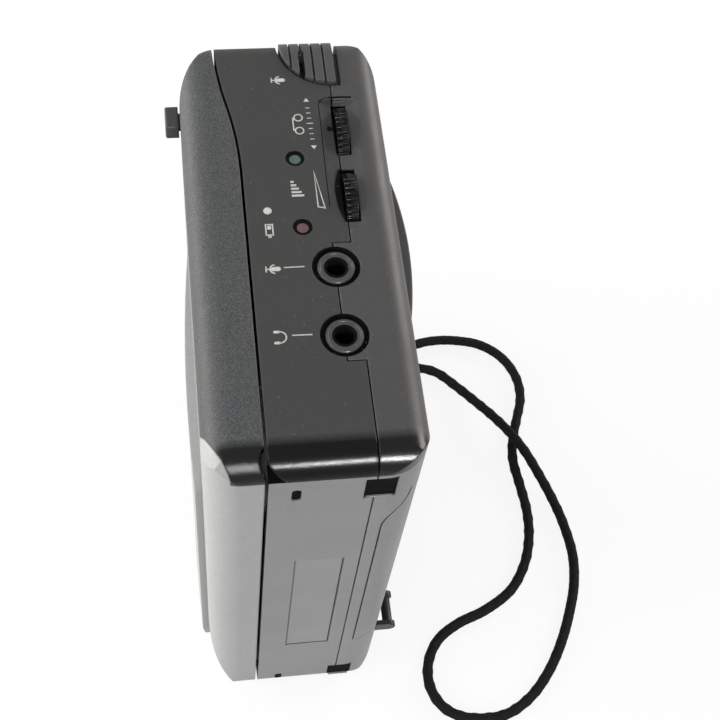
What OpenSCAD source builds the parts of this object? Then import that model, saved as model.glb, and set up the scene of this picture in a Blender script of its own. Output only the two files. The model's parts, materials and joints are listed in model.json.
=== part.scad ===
/* [Case] */
// Width of the case, left to right
case_w = 88; // [84:1:96]
// Height of the case, standing on its base
case_h = 118; // [116:1:126]
// Thickness of the case, front to back
case_t = 37; // [36:0.5:42]
// Wall thickness of the mouldings
wall = 1.8; // [1.4:0.1:2.2]
// Radius of the top corners seen from the front
top_round = 4.5; // [3:0.5:6]
// Radius of the bottom corners seen from the front
foot_round = 7; // [4:0.5:10]
// Radius of the front upright edges
front_round = 6; // [4:0.5:7]
// Radius of the rear upright edges
rear_round = 7.5; // [5:0.5:8]
// How much further the left end reaches than the right end
end_out = 1.5; // [0.5:0.1:2]
// Radius of the front upright edge at the left end
end_front_round = 13; // [10:0.5:14]
// Radius of the rear upright edge at the left end
end_rear_round = 10; // [8:0.5:10.5]
// Radius of the top front edge
brow_round = 5; // [3:0.5:6]
// Radius of the top rear edge
crown_round = 4.5; // [3:0.5:6]
// Radius of the bottom rear edge
heel_round = 9; // [5:0.5:12]
// Height at which the front starts to curve in
belly_h = 32; // [26:1:40]
// How far the front curves in at the base
belly_in = 6.9; // [4:0.1:8]
// Depth of the cassette door
door_depth = 9.8; // [9:0.1:11]
// Open seam round the cassette door
seam = 0.5; // [0.4:0.05:0.7]
// Depth of the rear cover
rear_depth = 9.1; // [8:0.1:10]
// Fine joint between fixed mouldings
joint_gap = 0.25; // [0.1:0.05:0.4]
// Height of the dark cap along the control side
cap_drop = 4.5; // [4:0.1:6]
// Clearance between the door and the table
door_lift = 0.4; // [0.2:0.1:1]
// Where the door seam starts to swing forward
swing_x = -14; // [-18:1:-8]
// How far the door seam swings forward at the key side
swing_drop = 3.3; // [2:0.1:4]

/* [Cassette bay] */
// Distance between the two reel centres
reel_pitch = 42.5; // [40:0.5:44]
// Reel centres, distance right of the middle
reel_x = 12.2; // [10:0.2:13]
// Reel centre line, height of its middle above the middle of the case
reel_up = 1; // [0:0.5:2]
// Capstan, distance left of the middle
capstan_x = 14.4; // [13:0.2:16]
// Capstan, distance below the reel middle
capstan_drop = 33.5; // [32:0.5:35]
// Depth of the bay floor behind the door seam
deck_set = 4.3; // [4:0.1:4.6]
// Thickness of the bay floor
deck_t = 1.2; // [1:0.1:1.4]
// Free strip between the bay floor and the hinge side
deck_inset = 4.6; // [4.5:0.1:5.5]

/* [Cassette door] */
// Hinge axis, inset from the right side
hinge_inset = 2.2; // [2:0.1:2.4]
// Hinge axis, distance behind the door edge
hinge_back = 2.2; // [2:0.1:2.4]
// Radius of the hinge pins
hinge_pin_r = 0.75; // [0.6:0.05:0.9]
// Radius of the hinge ears
ear_r = 1.4; // [1.2:0.05:1.5]
// Width of the arm that carries a hinge ear
ear_arm = 1.6; // [1.2:0.1:1.8]
// Lean of that arm away from the side
ear_lean = 40; // [38:1:45]
// Thickness of the side left outside the hinge ears
ear_skin = 0.55; // [0.4:0.05:0.6]
// Height of each hinge ear
ear_h = 4; // [3:0.5:5]
// Distance of the ears from the top and the base
ear_end = 13; // [12.5:0.5:14]
// Length of the hinge lugs beyond the ears
lug_h = 3; // [2:0.5:4]
// Room round the hinge ears
ear_room = 0.5; // [0.4:0.1:0.8]
// Height of the raised window panel
plateau_rise = 1.8; // [1:0.1:2.2]
// Where the raised panel starts to swell, left of the middle
plateau_left = 12; // [8:1:16]
// Highest line of the raised panel, right of the middle
plateau_crest = 20; // [16:1:24]
// Right edge of the raised panel from the middle
plateau_right = 36; // [30:1:37]
// Lower edge of the raised panel
plateau_low = 14; // [10:1:20]
// Upper edge of the raised panel, below the top
plateau_top = 20; // [18:1:26]
// Corner radius of the raised panel
plateau_round = 5; // [3:0.5:6]
// Window width
window_w = 30; // [24:1:34]
// Window height
window_h = 52; // [44:1:56]
// Window centre, right of the middle
window_x = 11; // [9:0.5:13]
// Window centre, below the reel middle
window_down = 2; // [1:0.5:4]
// Corner radius of the window
window_round = 3; // [2:0.5:4]
// Window thickness
window_t = 1.4; // [1:0.1:1.6]
// Rim of the window behind its frame
window_rim = 1.5; // [1:0.1:2]
// Upper end of the hinge notch, below the top
hinge_notch_drop = 1; // [0.5:0.1:2]
// Width of the silver strip beside the hinge
strip_w = 9.4; // [9:0.1:10]
// Depth of the strip's silver top corner, at the right side
corner_depth = 4.4; // [4:0.1:5]
// Slant of the dark band's edge over that corner
corner_slant = 26; // [25:0.5:28]
// Depth of the dark band beside the silver strip
band_depth = 12; // [11:0.5:14]
// Radius at the foot of the silver strip
band_foot_r = 5; // [4:0.5:6]
// How far the dark band's lower edge falls to the left end
band_fall = 10.7; // [9:0.1:12]

/* [Door latch] */
// Latch knob width
latch_w = 5.1; // [4.6:0.1:5.6]
// Latch knob height
latch_h = 3.4; // [3.2:0.1:4.2]
// How far the latch knob stands out
latch_out = 2.8; // [2.4:0.1:4]
// Latch knob centre, inset from the left side
latch_inset = 11.6; // [11.5:0.1:13]
// Latch knob centre, below the top
latch_down = 9.6; // [9:0.1:11]
// Latch travel
latch_travel = 2.5; // [2:0.1:3]
// Latch plate thickness
latch_plate_t = 1.2; // [1:0.1:1.4]
// Knob overlap round its neck
latch_lap = 1; // [0.8:0.1:1.2]
// Room between the front wall and the latch plate
latch_set = 1; // [1:0.1:1.4]

/* [Keys] */
// Key cap height
key_h = 11; // [9:0.5:11.5]
// Key pitch
key_pitch = 13; // [12.5:0.5:14]
// Middle key, height above the reel middle
key_up = 6; // [4:1:8]
// Key cap width, front to back
key_w = 6.4; // [5.6:0.2:6.6]
// Key cap centre, behind the middle
key_y = 0.6; // [0.4:0.1:0.8]
// How far the keys stand out
key_out = 3.4; // [3.2:0.1:4]
// Key stem width, front to back
key_stem_w = 3.6; // [3:0.1:3.8]
// Key stem length inside the wall
key_stem_l = 4.5; // [4:0.1:5]
// Stop flange thickness
key_stop_t = 1; // [0.8:0.1:1.2]
// Stop flange overlap past the cap
key_stop_lap = 0.6; // [0.4:0.1:0.7]
// Clearance round a key
key_clear = 0.3; // [0.25:0.05:0.4]

/* [Drive] */
// Chassis plate thickness
chassis_t = 1; // [0.8:0.1:1.2]
// Left edge of the chassis plate, inset from the left side
chassis_inset = 8.5; // [8:0.5:10]
// Capstan shaft radius
capstan_r = 1; // [0.9:0.05:1.2]
// How far the capstan reaches into the bay
capstan_reach = 8; // [7:0.5:9]
// Bearing bush radius
bush_r = 2.6; // [2.2:0.1:3]
// Running clearance of a shaft
run_clear = 0.04; // [0.02:0.01:0.08]
// Free gap beside a turning part
side_gap = 0.3; // [0.25:0.05:0.4]
// Flywheel radius
flywheel_r = 13; // [12:0.5:13.5]
// Flywheel thickness
flywheel_t = 1.6; // [1.4:0.1:1.8]
// Radius of the small belt step on the flywheel
step_r = 4; // [3.5:0.1:5]
// Thickness of the small belt step
step_t = 1.3; // [1.2:0.1:1.6]
// Square belt section
belt_t = 1; // [0.8:0.1:1.1]
// Reel spindle pulley radius
reel_pulley_r = 8; // [7:0.5:9]
// Reel spindle shaft radius
reel_shaft_r = 2; // [1.6:0.1:2.2]
// Reel drive tip radius over the blades
reel_tip_r = 4; // [3.6:0.1:4.4]
// How far the reel tips reach into the bay
reel_reach = 7.5; // [6.5:0.5:8.5]
// Motor radius
motor_r = 12; // [11:0.5:12.5]
// Motor length
motor_l = 11.5; // [10:0.5:12]
// Motor axis, inset from the left side
motor_inset = 17; // [16.5:0.5:18]
// Motor axis, height above the takeup reel
motor_up = 21.25; // [20.25:0.25:23]
// Motor pulley radius
motor_pulley_r = 3.2; // [3:0.1:4]
// Motor shaft radius
motor_shaft_r = 0.8; // [0.7:0.05:1]

/* [Head carriage] */
// Carriage plate width
carriage_w = 12; // [11:0.5:13]
// Carriage plate height
carriage_h = 76; // [72:1:80]
// Carriage plate thickness
carriage_t = 1.2; // [1:0.1:1.4]
// Carriage travel
carriage_travel = 3; // [2.5:0.1:3.2]
// Record head width, along the tape
head_w = 12; // [11:0.5:13]
// Record head length, towards the tape
head_l = 9; // [8:0.5:10]
// Head height above the plate
head_h = 8; // [7:0.5:9]
// Erase head width
erase_w = 6; // [5:0.5:7]
// Erase head, distance above the record head
erase_up = 14; // [13:0.5:16]
// Pinch roller radius
pinch_r = 5; // [4.5:0.1:5.5]
// Pinch roller length
pinch_l = 6.5; // [6:0.5:7]
// Pinch roller pin radius
pinch_pin_r = 0.8; // [0.7:0.05:1]

/* [Controls] */
// Thumbwheel radius
wheel_r = 7; // [6.5:0.1:7.5]
// Thumbwheel thickness
wheel_t = 2.1; // [1.8:0.1:2.3]
// How far a thumbwheel stands above the top
wheel_out = 1.5; // [1:0.1:2]
// Thumbwheel slot width, front to back
wheel_slot_w = 2.8; // [2.6:0.1:3]
// Thumbwheel slot length
wheel_slot_l = 11.6; // [11:0.1:12.4]
// Speed wheel, left of the middle
speed_x = 23.3; // [22.8:0.1:24]
// Volume wheel, left of the middle
volume_x = 8.5; // [8:0.1:9]
// Thumbwheel centre, behind the middle
wheel_y = 10.3; // [10:0.1:10.5]
// Thumbwheel shaft radius
wheel_shaft_r = 1.2; // [1:0.1:1.4]
// Control body radius behind a thumbwheel
pot_r = 3.4; // [3:0.1:3.5]
// Depth of the finger trough round the thumbwheels, at its left end
scoop_depth = 0.8; // [0.5:0.05:0.9]
// Radius of the finger trough
scoop_r = 9; // [8:0.5:12]
// Length of the finger trough past each thumbwheel centre
scoop_end = 6.9; // [6.4:0.1:7.2]
// Slope of the finger trough's floor
scoop_slope = 1; // [0.5:0.1:1.2]
// Depth of the round hollow in front of the volume wheel
hollow_d = 1.1; // [0.8:0.1:1.4]
// Lamp lens radius
lamp_r = 1.2; // [1:0.05:1.3]
// Radius of the dished rim round a lamp
lamp_rim_r = 1.7; // [1.5:0.05:1.9]
// Level lamp, left of the middle
level_x = 16.8; // [16:0.1:18]
// Record lamp, left of the middle
record_x = 1.9; // [1:0.1:3]
// Lamps, behind the middle
lamp_y = 1.3; // [0.8:0.1:1.6]
// Jack bore radius for a small plug
jack_r = 1.8; // [1.75:0.05:1.9]
// Jack bore depth
jack_depth = 12; // [10:0.5:12]
// Jack bush radius
jack_bush_r = 3.2; // [3:0.1:3.4]
// Radius of the recess round a jack
jack_rim_r = 4.15; // [3.8:0.05:4.4]
// Depth of the recess round a jack
jack_rim_depth = 0.9; // [0.6:0.1:1.2]
// Jack body width
jack_body_w = 7.6; // [7:0.1:8]
// Microphone jack, right of the middle
mic_jack_x = 6.6; // [6:0.1:7]
// Monitor jack, right of the microphone jack
jack_pitch = 13.5; // [13:0.1:14]
// Jacks, behind the middle
jack_y = 6.2; // [6.1:0.05:6.4]
// Joint jog beside the jacks
jog_side = 4.8; // [4.6:0.1:5.2]
// Radius of the round microphone grille
grille_r = 9.6; // [9:0.1:10]
// Grille centre, inset from the left side
grille_inset = 0.5; // [0:0.1:1]
// Grille centre, behind the middle
grille_y = 10.2; // [10:0.1:10.5]
// Open ring round the grille
grille_gap = 0.6; // [0.4:0.1:0.8]
// Pitch of the grille ribs
rib_pitch = 2.05; // [1.95:0.05:2.1]
// Width of a grille rib
rib_w = 1.65; // [1.45:0.05:1.8]
// Width of the open slot among the grille ribs
mic_slot_w = 1.1; // [0.8:0.1:1.4]
// How far the ribs stand proud
rib_out = 0.6; // [0.4:0.1:0.8]
// Microphone capsule radius
capsule_r = 3; // [2.5:0.1:3.2]
// Microphone capsule length
capsule_l = 4; // [3:0.5:5]

/* [Board] */
// Circuit board thickness
board_t = 1.2; // [1:0.1:1.6]
// Front face of the board, behind the middle
board_y = 3; // [2.8:0.1:3.2]
// Lower edge of the board above the motor
board_clear = 2; // [1.5:0.5:4]
// Height of the tall components
part_h = 3; // [2:0.1:3.5]

/* [Rear cover] */
// Speaker radius
speaker_r = 16; // [14:0.5:16.5]
// Room between the speaker and the cell tray
speaker_clear = 1.2; // [0.8:0.1:1.6]
// Speaker centre, height above the reel middle
speaker_up = 24; // [22:0.5:26]
// Speaker depth
speaker_l = 8; // [7:0.5:8.5]
// Speaker magnet radius
magnet_r = 8; // [7:0.5:9]
// Speaker panel width
panel_w = 38; // [36:1:40]
// Speaker panel height
panel_h = 42; // [40:1:44]
// How far the crown of the speaker panel stands out
panel_out = 3.4; // [2.8:0.1:3.6]
// Thickness of the speaker panel at its upright edges
panel_edge = 1; // [0.8:0.1:1.4]
// Speaker panel corner radius
panel_round = 5; // [3:0.5:7]
// Sound slot pitch
slot_pitch = 3.2; // [3:0.1:3.6]
// Sound slot width
slot_w = 1.4; // [1:0.1:1.6]
// Battery cell radius
cell_r = 7.1; // [7:0.05:7.15]
// Battery cell length with its button
cell_l = 50.4; // [49:0.2:51]
// Gap between the cells and the tray
cell_gap = 0.3; // [0.25:0.05:0.4]
// Middle of the cells, height above the reel middle
cell_up = 2.2; // [1.8:0.2:3.2]
// Battery contact thickness
contact_t = 0.4; // [0.3:0.05:0.5]
// Contact spring length
spring_l = 2; // [1.6:0.1:2.4]
// Tray wall thickness
tray_t = 1.2; // [1:0.1:1.4]
// Battery door wall thickness
lid_t = 1.4; // [1.2:0.05:1.5]
// Lower edge of the battery door below the cell tray
lid_below = 3.9; // [3:0.1:5]
// Battery door edge, behind the parting line
lid_set = 2.5; // [2:0.1:3]
// Top of the battery door below the dark cap
lid_under = 9.5; // [9:0.1:10.5]
// Length of the battery door's swing
lid_swing_run = 12; // [11.5:0.1:12.5]
// Depth of the battery door's swing
lid_swing_drop = 4.2; // [4:0.1:4.4]
// Gap round the battery door
lid_gap = 0.3; // [0.25:0.05:0.4]

/* [Side details] */
// Strip-shaped recess on the right side, width
label_w = 9.1; // [8:0.1:10]
// Strip-shaped recess, height
label_h = 49.5; // [46:0.5:52]
// Strip-shaped recess, depth
label_depth = 0.3; // [0.2:0.05:0.4]
// Strip centre, behind the middle
label_y = 1.85; // [1.6:0.05:2.2]
// Label middle, below the reel middle
label_down = 5.8; // [4:0.2:8]
// Vent slot width
vent_w = 1.6; // [1.2:0.1:2]
// Vent slot length
vent_l = 4.4; // [4:0.1:5]
// Vent slots, in front of the middle
vent_y = 3.6; // [3.4:0.1:3.8]
// Upper vent slot, below the top
vent_top = 9.8; // [9.4:0.1:10.4]
// Lower vent slot, above the base
vent_low = 6.8; // [6.4:0.1:7.4]
// Strap slot width
notch_w = 5.4; // [5:0.1:6]
// Strap slot length
notch_l = 7.6; // [7:0.1:8]
// Strap slot centre, behind the middle
notch_y = 10.2; // [10:0.1:10.6]
// Upper strap slot, below the top
notch_top = 9.2; // [9:0.1:10]
// Lower strap slot, above the base
notch_low = 8; // [7.6:0.1:9]
// Strap slot depth
notch_depth = 1; // [0.6:0.1:1.2]

/* [Strap and fasteners] */
// Eyelets, inset from the sides
eyelet_inset = 8.5; // [8.5:0.5:10]
// Eyelet height above the base
eyelet_z = 22; // [20:0.5:24]
// Eyelet width
eyelet_w = 8; // [7:0.5:8]
// How far an eyelet stands out
eyelet_out = 3.4; // [3:0.1:4]
// Eyelet bar radius
eyelet_bar_r = 1.1; // [1:0.05:1.2]
// Strap end block width
tab_w = 6.4; // [5.6:0.1:6.4]
// Strap cord diameter
cord_d = 2.6; // [2.6:0.1:2.6]
// Case screw thread radius
screw_r = 1; // [0.9:0.05:1.1]
// Case screw head radius
screw_head_r = 1.9; // [1.7:0.1:2.1]
// Case screw boss radius
boss_r = 2.6; // [2.4:0.1:2.8]
// Chassis screw head radius
small_head_r = 1.6; // [1.4:0.1:1.8]

/* [Hidden] */
$fn = 64;
// A cut reaches this far past the face it opens
over = 1;
// Long enough to cut right through the case
far = 300;
front_y = -case_t / 2;
rear_y = case_t / 2;
side_x = case_w / 2;
door_y = front_y + door_depth;
case_y = door_y + seam;
part_y = rear_y - rear_depth;
cap_z = case_h - cap_drop;
reel_mid_z = case_h / 2 + reel_up;
window_z = reel_mid_z - window_down;
label_z = reel_mid_z - label_down;
speaker_z = reel_mid_z + speaker_up;
cell_low_z = reel_mid_z + cell_up - cell_l / 2;
motor_x = side_x - motor_inset;
motor_z = reel_mid_z - reel_pitch / 2 + motor_up;
board_low_z = motor_z + motor_r + board_clear;
belly_r = (belly_in * belly_in + belly_h * belly_h) / (2 * belly_in);
left_x = -side_x - end_out;
swing_run = swing_x - left_x;
hinge_x = side_x - hinge_inset;
hinge_y = door_y + hinge_back;
// Swept radius of the door's edge about the hinge
hinge_sweep = sqrt(hinge_inset * hinge_inset + hinge_back * hinge_back) + seam / 8;
deck_y = case_y + deck_set - seam;
chassis_y = deck_y + deck_t;
drive_y = chassis_y + chassis_t + side_gap;
ear_z = [ear_end, case_h - ear_end - ear_h];

// Square with four round corners, each radius its own: low left, low right, top right, top left
module soft_square(w, h, r) {
  difference() {
    translate([-w / 2, 0])
      square([w, h]);
    for (c = [[-1, 0, r[0]], [1, 0, r[1]], [1, 1, r[2]], [-1, 1, r[3]]])
      translate([c[0] * w / 2, c[1] * h])
        difference() {
          square(2 * c[2], center = true);
          translate([-c[0] * c[2], c[2] * (1 - 2 * c[1])])
            circle(c[2]);
        }
  }
}

// Flat plate with round corners, its thickness along Y from y to y + t
module plate_y(w, h, r, y, t) {
  translate([0, y + t, 0])
    rotate([90, 0, 0])
      linear_extrude(t)
        translate([0, -h / 2])
          soft_square(w, h, [r, r, r, r]);
}

// Rod along Y from y0 to y1
module rod_y(r, x, z, y0, y1) {
  translate([x, y0, z])
    rotate([-90, 0, 0])
      cylinder(r = r, h = y1 - y0);
}

// Rod along Z from z0 to z1
module rod_z(r, x, y, z0, z1) {
  translate([x, y, z0])
    cylinder(r = r, h = z1 - z0);
}

// Box between two corners
module block(low, high) {
  translate(low)
    cube(high - low);
}

// Points of a line that falls by drop along run in two equal arcs
swing_steps = 12;
function swing_line(run, drop) =
  let (half = run / 2, r = (half * half + drop * drop / 4) / drop)
    [for (k = [0:2 * swing_steps]) let (u = half * k / swing_steps)
      [u, u <= half ? sqrt(r * r - u * u) - r : r - drop - sqrt(r * r - (run - u) * (run - u))]];

// Field below such a line, lapping what lies before it
module swing_field(run, drop, depth) {
  polygon(concat(swing_line(run, drop), [[run, -depth], [-over, -depth], [-over, 0]]));
}

// Front outline of the case, drawn in X and Z
module front_outline(inset) {
  r0 = foot_round - inset;
  r1 = top_round - inset;
  translate([-end_out / 2, inset])
    soft_square(case_w + end_out - 2 * inset, case_h - 2 * inset, [r0, r0, r1, r1]);
}

// Side outline of the case, drawn in Y and Z
module side_outline(inset) {
  t = case_t - 2 * inset;
  r0 = heel_round - inset;
  intersection() {
    translate([0, inset])
      soft_square(t, case_h - 2 * inset, [0.01, r0, crown_round - inset, brow_round - inset]);
    union() {
      translate([front_y - far / 2, belly_h])
        square(far);
      intersection() {
        translate([front_y - far / 2, belly_h - far])
          square(far);
        translate([front_y + belly_r, belly_h])
          circle(belly_r - inset, $fn = 180);
      }
    }
  }
}

// Plan outline of the case, drawn in X and Y
module plan_outline(inset) {
  r = [for (edge = [end_front_round, front_round, rear_round, end_rear_round]) edge - inset];
  translate([-end_out / 2, front_y + inset])
    soft_square(case_w + end_out - 2 * inset, case_t - 2 * inset, r);
}

// The whole rounded case as one block, shrunk by inset
module case_block(inset) {
  intersection() {
    translate([0, far / 2, 0])
      rotate([90, 0, 0])
        linear_extrude(far)
          front_outline(inset);
    translate([-far / 2, 0, 0])
      rotate([90, 0, 90])
        linear_extrude(far)
          side_outline(inset);
    translate([0, 0, -over])
      linear_extrude(case_h + 2 * over)
        plan_outline(inset);
  }
}

// The case as a hollow shell of thickness t
module case_shell(t) {
  difference() {
    case_block(0);
    case_block(t);
  }
}

// All that lies in front of the door seam, moved back by shift
module door_field(shift) {
  translate([0, shift, -far / 2])
    linear_extrude(far) {
      translate([swing_x, door_y - far])
        square([far, far]);
      translate([swing_x, door_y])
        mirror([1, 0])
          swing_field(swing_run, swing_drop, door_depth + 2 * over);
    }
}

// Silver field of the cassette door: its front outline, and the top corner of its strip
band_steps = 12;
module silver_field() {
  strip_x = side_x - strip_w;
  edge_z = case_h - band_depth;
  edge_x = strip_x - band_foot_r;
  end_x = left_x - over;
  foot = [for (k = [0:band_steps]) let (a = 90 * k / band_steps)
    [edge_x + band_foot_r * cos(a), edge_z + band_foot_r * (1 - sin(a))]];
  fall = [for (k = [1:band_steps]) let (u = k / band_steps)
    [edge_x + (end_x - edge_x) * u, edge_z - band_fall * u * u]];
  low = [[end_x, -over], [side_x + over, -over], [side_x + over, cap_z], [strip_x, cap_z]];
  translate([0, far / 2, 0])
    rotate([90, 0, 0])
      linear_extrude(far)
        polygon(concat(foot, fall, low));
  corner_y = front_y + corner_depth;
  front = front_y - corner_depth;
  translate([0, 0, cap_z - over])
    linear_extrude(far)
      polygon([[strip_x, front], [side_x + over, front], [side_x + over, corner_y + over * tan(corner_slant)],
        [strip_x, corner_y - strip_w * tan(corner_slant)]]);
}

// Reel, capstan and motor axes in X and Z
supply_at = [reel_x, reel_mid_z + reel_pitch / 2];
takeup_at = [reel_x, reel_mid_z - reel_pitch / 2];
capstan_at = [-capstan_x, reel_mid_z - capstan_drop];
motor_at = [-motor_x, motor_z];
reel_bore_r = reel_shaft_r + run_clear;
bay_hole_r = reel_shaft_r + side_gap;
chassis_back = chassis_y + chassis_t;
board_back = board_y + board_t;
wheel_z = case_h + wheel_out - wheel_r;
monitor_jack_x = mic_jack_x + jack_pitch;
grille_x = -side_x + grille_inset;
grille_back = grille_y + grille_inset;
key_rows = [0, 1, 2, 3, 4];
// Case screws in X and Z
screw_inset = [13, 8];
screw_beside = 9.9;
screw_end = [12, 14, 9];
screw_at = [[screw_inset[0] - side_x, screw_end[0]], [side_x - screw_inset[0], screw_end[0]],
  [screw_inset[1] - side_x, case_h - screw_end[1]], [monitor_jack_x + screw_beside, case_h - screw_end[2]]];
screw_y = rear_y - wall + joint_gap;
screw_end_y = board_y;
lid_left_x = side_x - wall - 4 * cell_r + tray_t / 2;
cell_y = rear_y - lid_t - cell_gap - cell_r;
cell_x = [side_x - wall - cell_gap - cell_r, side_x - wall - 2 * cell_gap - 3 * cell_r];
tray_right_x = cell_x[1] - cell_r - cell_gap;
tray_low_z = cell_low_z - spring_l - contact_t - tray_t;
tray_top_z = cell_low_z + cell_l + contact_t + tray_t;
tray_y = cell_y - cell_r;
lid_low_z = tray_low_z - lid_below;
lid_swing_z = cap_z - lid_under - lid_swing_run;
speaker_x = speaker_r + speaker_clear + tray_t - tray_right_x;

key_mid = 2;
function key_z(i) = reel_mid_z + key_up + (i - key_mid) * key_pitch;

// Slot with round ends cut through along X, long side along Z
module slot_x(x0, x1, y, z, w, l) {
  translate([x0, y, z])
    rotate([90, 0, 90])
      linear_extrude(x1 - x0)
        translate([0, -l / 2])
          soft_square(w, l, [w / 2.01, w / 2.01, w / 2.01, w / 2.01]);
}

// Pockets, vents and the strip recess of the right side
module side_cuts() {
  x1 = side_x + over;
  for (z = [vent_low, case_h - vent_top])
    slot_x(side_x - 2 * wall, x1, -vent_y, z, vent_w, vent_l);
  for (z = [notch_low, case_h - notch_top])
    block([side_x - notch_depth, notch_y - notch_w / 2, z - notch_l / 2],
      [x1, notch_y + notch_w / 2, z + notch_l / 2]);
  block([side_x - label_depth, label_y - label_w / 2, label_z - label_h / 2],
    [x1, label_y + label_w / 2, label_z + label_h / 2]);
}

// Room for the hinge ears in the case
module ear_notches() {
  for (z = ear_z)
    block([hinge_x - ear_r - ear_room, case_y - over, z - ear_room],
      [side_x - ear_skin, hinge_y + ear_r + ear_room, z + ear_h + ear_room]);
}

// Hinge lugs above and below each ear
module hinge_lugs() {
  for (z = ear_z, s = [-lug_h - side_gap, ear_h + side_gap])
    rod_z(ear_r, hinge_x, hinge_y, z + s, z + s + lug_h);
}

// Hinge pins, each from lug to lug
module pin_rods(r) {
  for (z = ear_z)
    rod_z(r, hinge_x, hinge_y, z - lug_h - side_gap, z + ear_h + side_gap + lug_h);
}

// Openings for the keys in the left wall
module key_openings() {
  for (i = key_rows)
    block([left_x - over, key_y - key_w / 2 - key_clear, key_z(i) - key_h / 2 - key_clear],
      [left_x + 2 * wall, key_y + key_w / 2 + key_clear, key_z(i) + key_h / 2 + key_clear]);
}

// Studs in the bay floor that guide the head carriage
stud_r = 1.2;
stud_inset = 9;
stud_x = -side_x + stud_inset;
stud_end = 10;
stud_z = [reel_mid_z - carriage_h / 2 + stud_end, reel_mid_z + carriage_h / 2 - stud_end];
carriage_y = deck_y - side_gap - carriage_t;
module carriage_studs() {
  for (z = stud_z)
    rod_y(stud_r, stud_x, z, carriage_y - side_gap, deck_y + deck_t / 2);
}

module centre_case() {
  color("Silver")
    difference() {
      union() {
        difference() {
          intersection() {
            case_shell(wall);
            block([-far, -far, -over], [far, part_y - joint_gap, cap_z]);
          }
          door_field(seam);
          key_openings();
          side_cuts();
        }
        difference() {
          intersection() {
            case_block(wall / 2);
            block([-far, deck_y, 0], [side_x - deck_inset, deck_y + deck_t, cap_z]);
          }
          for (p = [supply_at, takeup_at])
            rod_y(bay_hole_r, p[0], p[1], deck_y - over, deck_y + deck_t + over);
          rod_y(bush_r, capstan_at[0], capstan_at[1], deck_y - over, deck_y + deck_t + over);
        }
        hinge_lugs();
        carriage_studs();
        for (p = screw_at)
          rod_y(boss_r, p[0], p[1], deck_y + deck_t / 2, part_y - joint_gap);
      }
      ear_notches();
      pin_rods(hinge_pin_r);
      for (p = screw_at)
        rod_y(screw_r, p[0], p[1], screw_end_y, rear_y);
    }
}

// Joint between the control panel and the rear cap, moved forward by shift
module rear_field(shift) {
  block([-far, part_y - shift, -over], [far, far, case_h + far]);
  block([mic_jack_x - jog_side - shift, jack_y - shift, cap_z - over],
    [monitor_jack_x + jog_side + shift, far, case_h + far]);
}

// Plan of the round microphone grille, grown by grow
module grille_plan(grow, z0, z1) {
  intersection() {
    rod_z(grille_r + grow, grille_x, grille_y, z0, z1);
    block([-far, -far, z0], [far, grille_back + grow, z1]);
  }
}

// Every opening in the top
module top_cuts() {
  z1 = case_h + wheel_r;
  for (x = [-speed_x, -volume_x]) {
    block([x - wheel_slot_l / 2, wheel_y - wheel_slot_w / 2, cap_z - over],
      [x + wheel_slot_l / 2, wheel_y + wheel_slot_w / 2, z1]);
    rod_y(wheel_r + side_gap, x, wheel_z, wheel_y - wheel_slot_w / 2, wheel_y + wheel_slot_w / 2);
  }
  translate([-speed_x - scoop_end, wheel_y, case_h + scoop_r - scoop_depth])
    rotate([0, 90 - scoop_slope, 0])
      cylinder(r = scoop_r, h = speed_x - volume_x + 2 * scoop_end);
  hollow_y = wheel_y - wheel_slot_w / 2;
  hollow_r = (wheel_slot_l * wheel_slot_l / 4 + hollow_d * hollow_d) / (2 * hollow_d);
  intersection() {
    rod_z(hollow_r, -volume_x, hollow_y - hollow_d + hollow_r, cap_z - over, z1);
    block([-volume_x - wheel_slot_l / 2, hollow_y - over - hollow_d, cap_z - over],
      [-volume_x + wheel_slot_l / 2, hollow_y + over, z1]);
  }
  for (x = [-level_x, -record_x]) {
    rod_z(lamp_r + run_clear, x, lamp_y, cap_z, z1);
    rod_z(lamp_rim_r, x, lamp_y, case_h - lamp_r / 2, z1);
  }
  for (x = [mic_jack_x, monitor_jack_x]) {
    rod_z(jack_bush_r + run_clear, x, jack_y, cap_z, z1);
    rod_z(jack_rim_r, x, jack_y, case_h - jack_rim_depth, z1);
  }
  grille_plan(grille_gap, cap_z - over, z1);
}

// Corner of the cap cut away beside the hinge, wider towards its lower edge
module corner_notch() {
  translate([hinge_x - ear_r, 0, 0])
    rotate([90, 0, 90])
      linear_extrude(far)
        polygon([[case_y - over, cap_z - over], [hinge_y + ear_r, cap_z - over], [hinge_y + ear_r, cap_z],
          [case_y, case_h - hinge_notch_drop], [case_y - over, case_h - hinge_notch_drop]]);
}

module control_panel() {
  color("DimGray")
    difference() {
      intersection() {
        case_shell(wall);
        block([-far, -far, cap_z], [far, part_y - joint_gap, case_h + over]);
      }
      door_field(seam);
      rear_field(joint_gap);
      top_cuts();
      corner_notch();
    }
}

module rear_top_cap() {
  color("DimGray")
    difference() {
      intersection() {
        case_shell(wall);
        block([-far, -far, cap_z], [far, far, case_h + over]);
        rear_field(0);
      }
      top_cuts();
    }
}

// Field of the battery door in Y and Z, grown by g, from the left edge out past the right side
module lid_field(g) {
  y0 = part_y + lid_set - g;
  z0 = lid_low_z - g;
  z1 = lid_swing_z + g;
  line = swing_line(lid_swing_run, lid_swing_drop);
  edge = [for (k = [len(line) - 1:-1:0]) [y0 - line[k][1], z1 + line[k][0]]];
  translate([lid_left_x - g, 0, 0])
    rotate([90, 0, 90])
      linear_extrude(far)
        polygon(concat([[y0, z0], [far, z0], [far, z1 + lid_swing_run]], edge));
}

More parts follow.
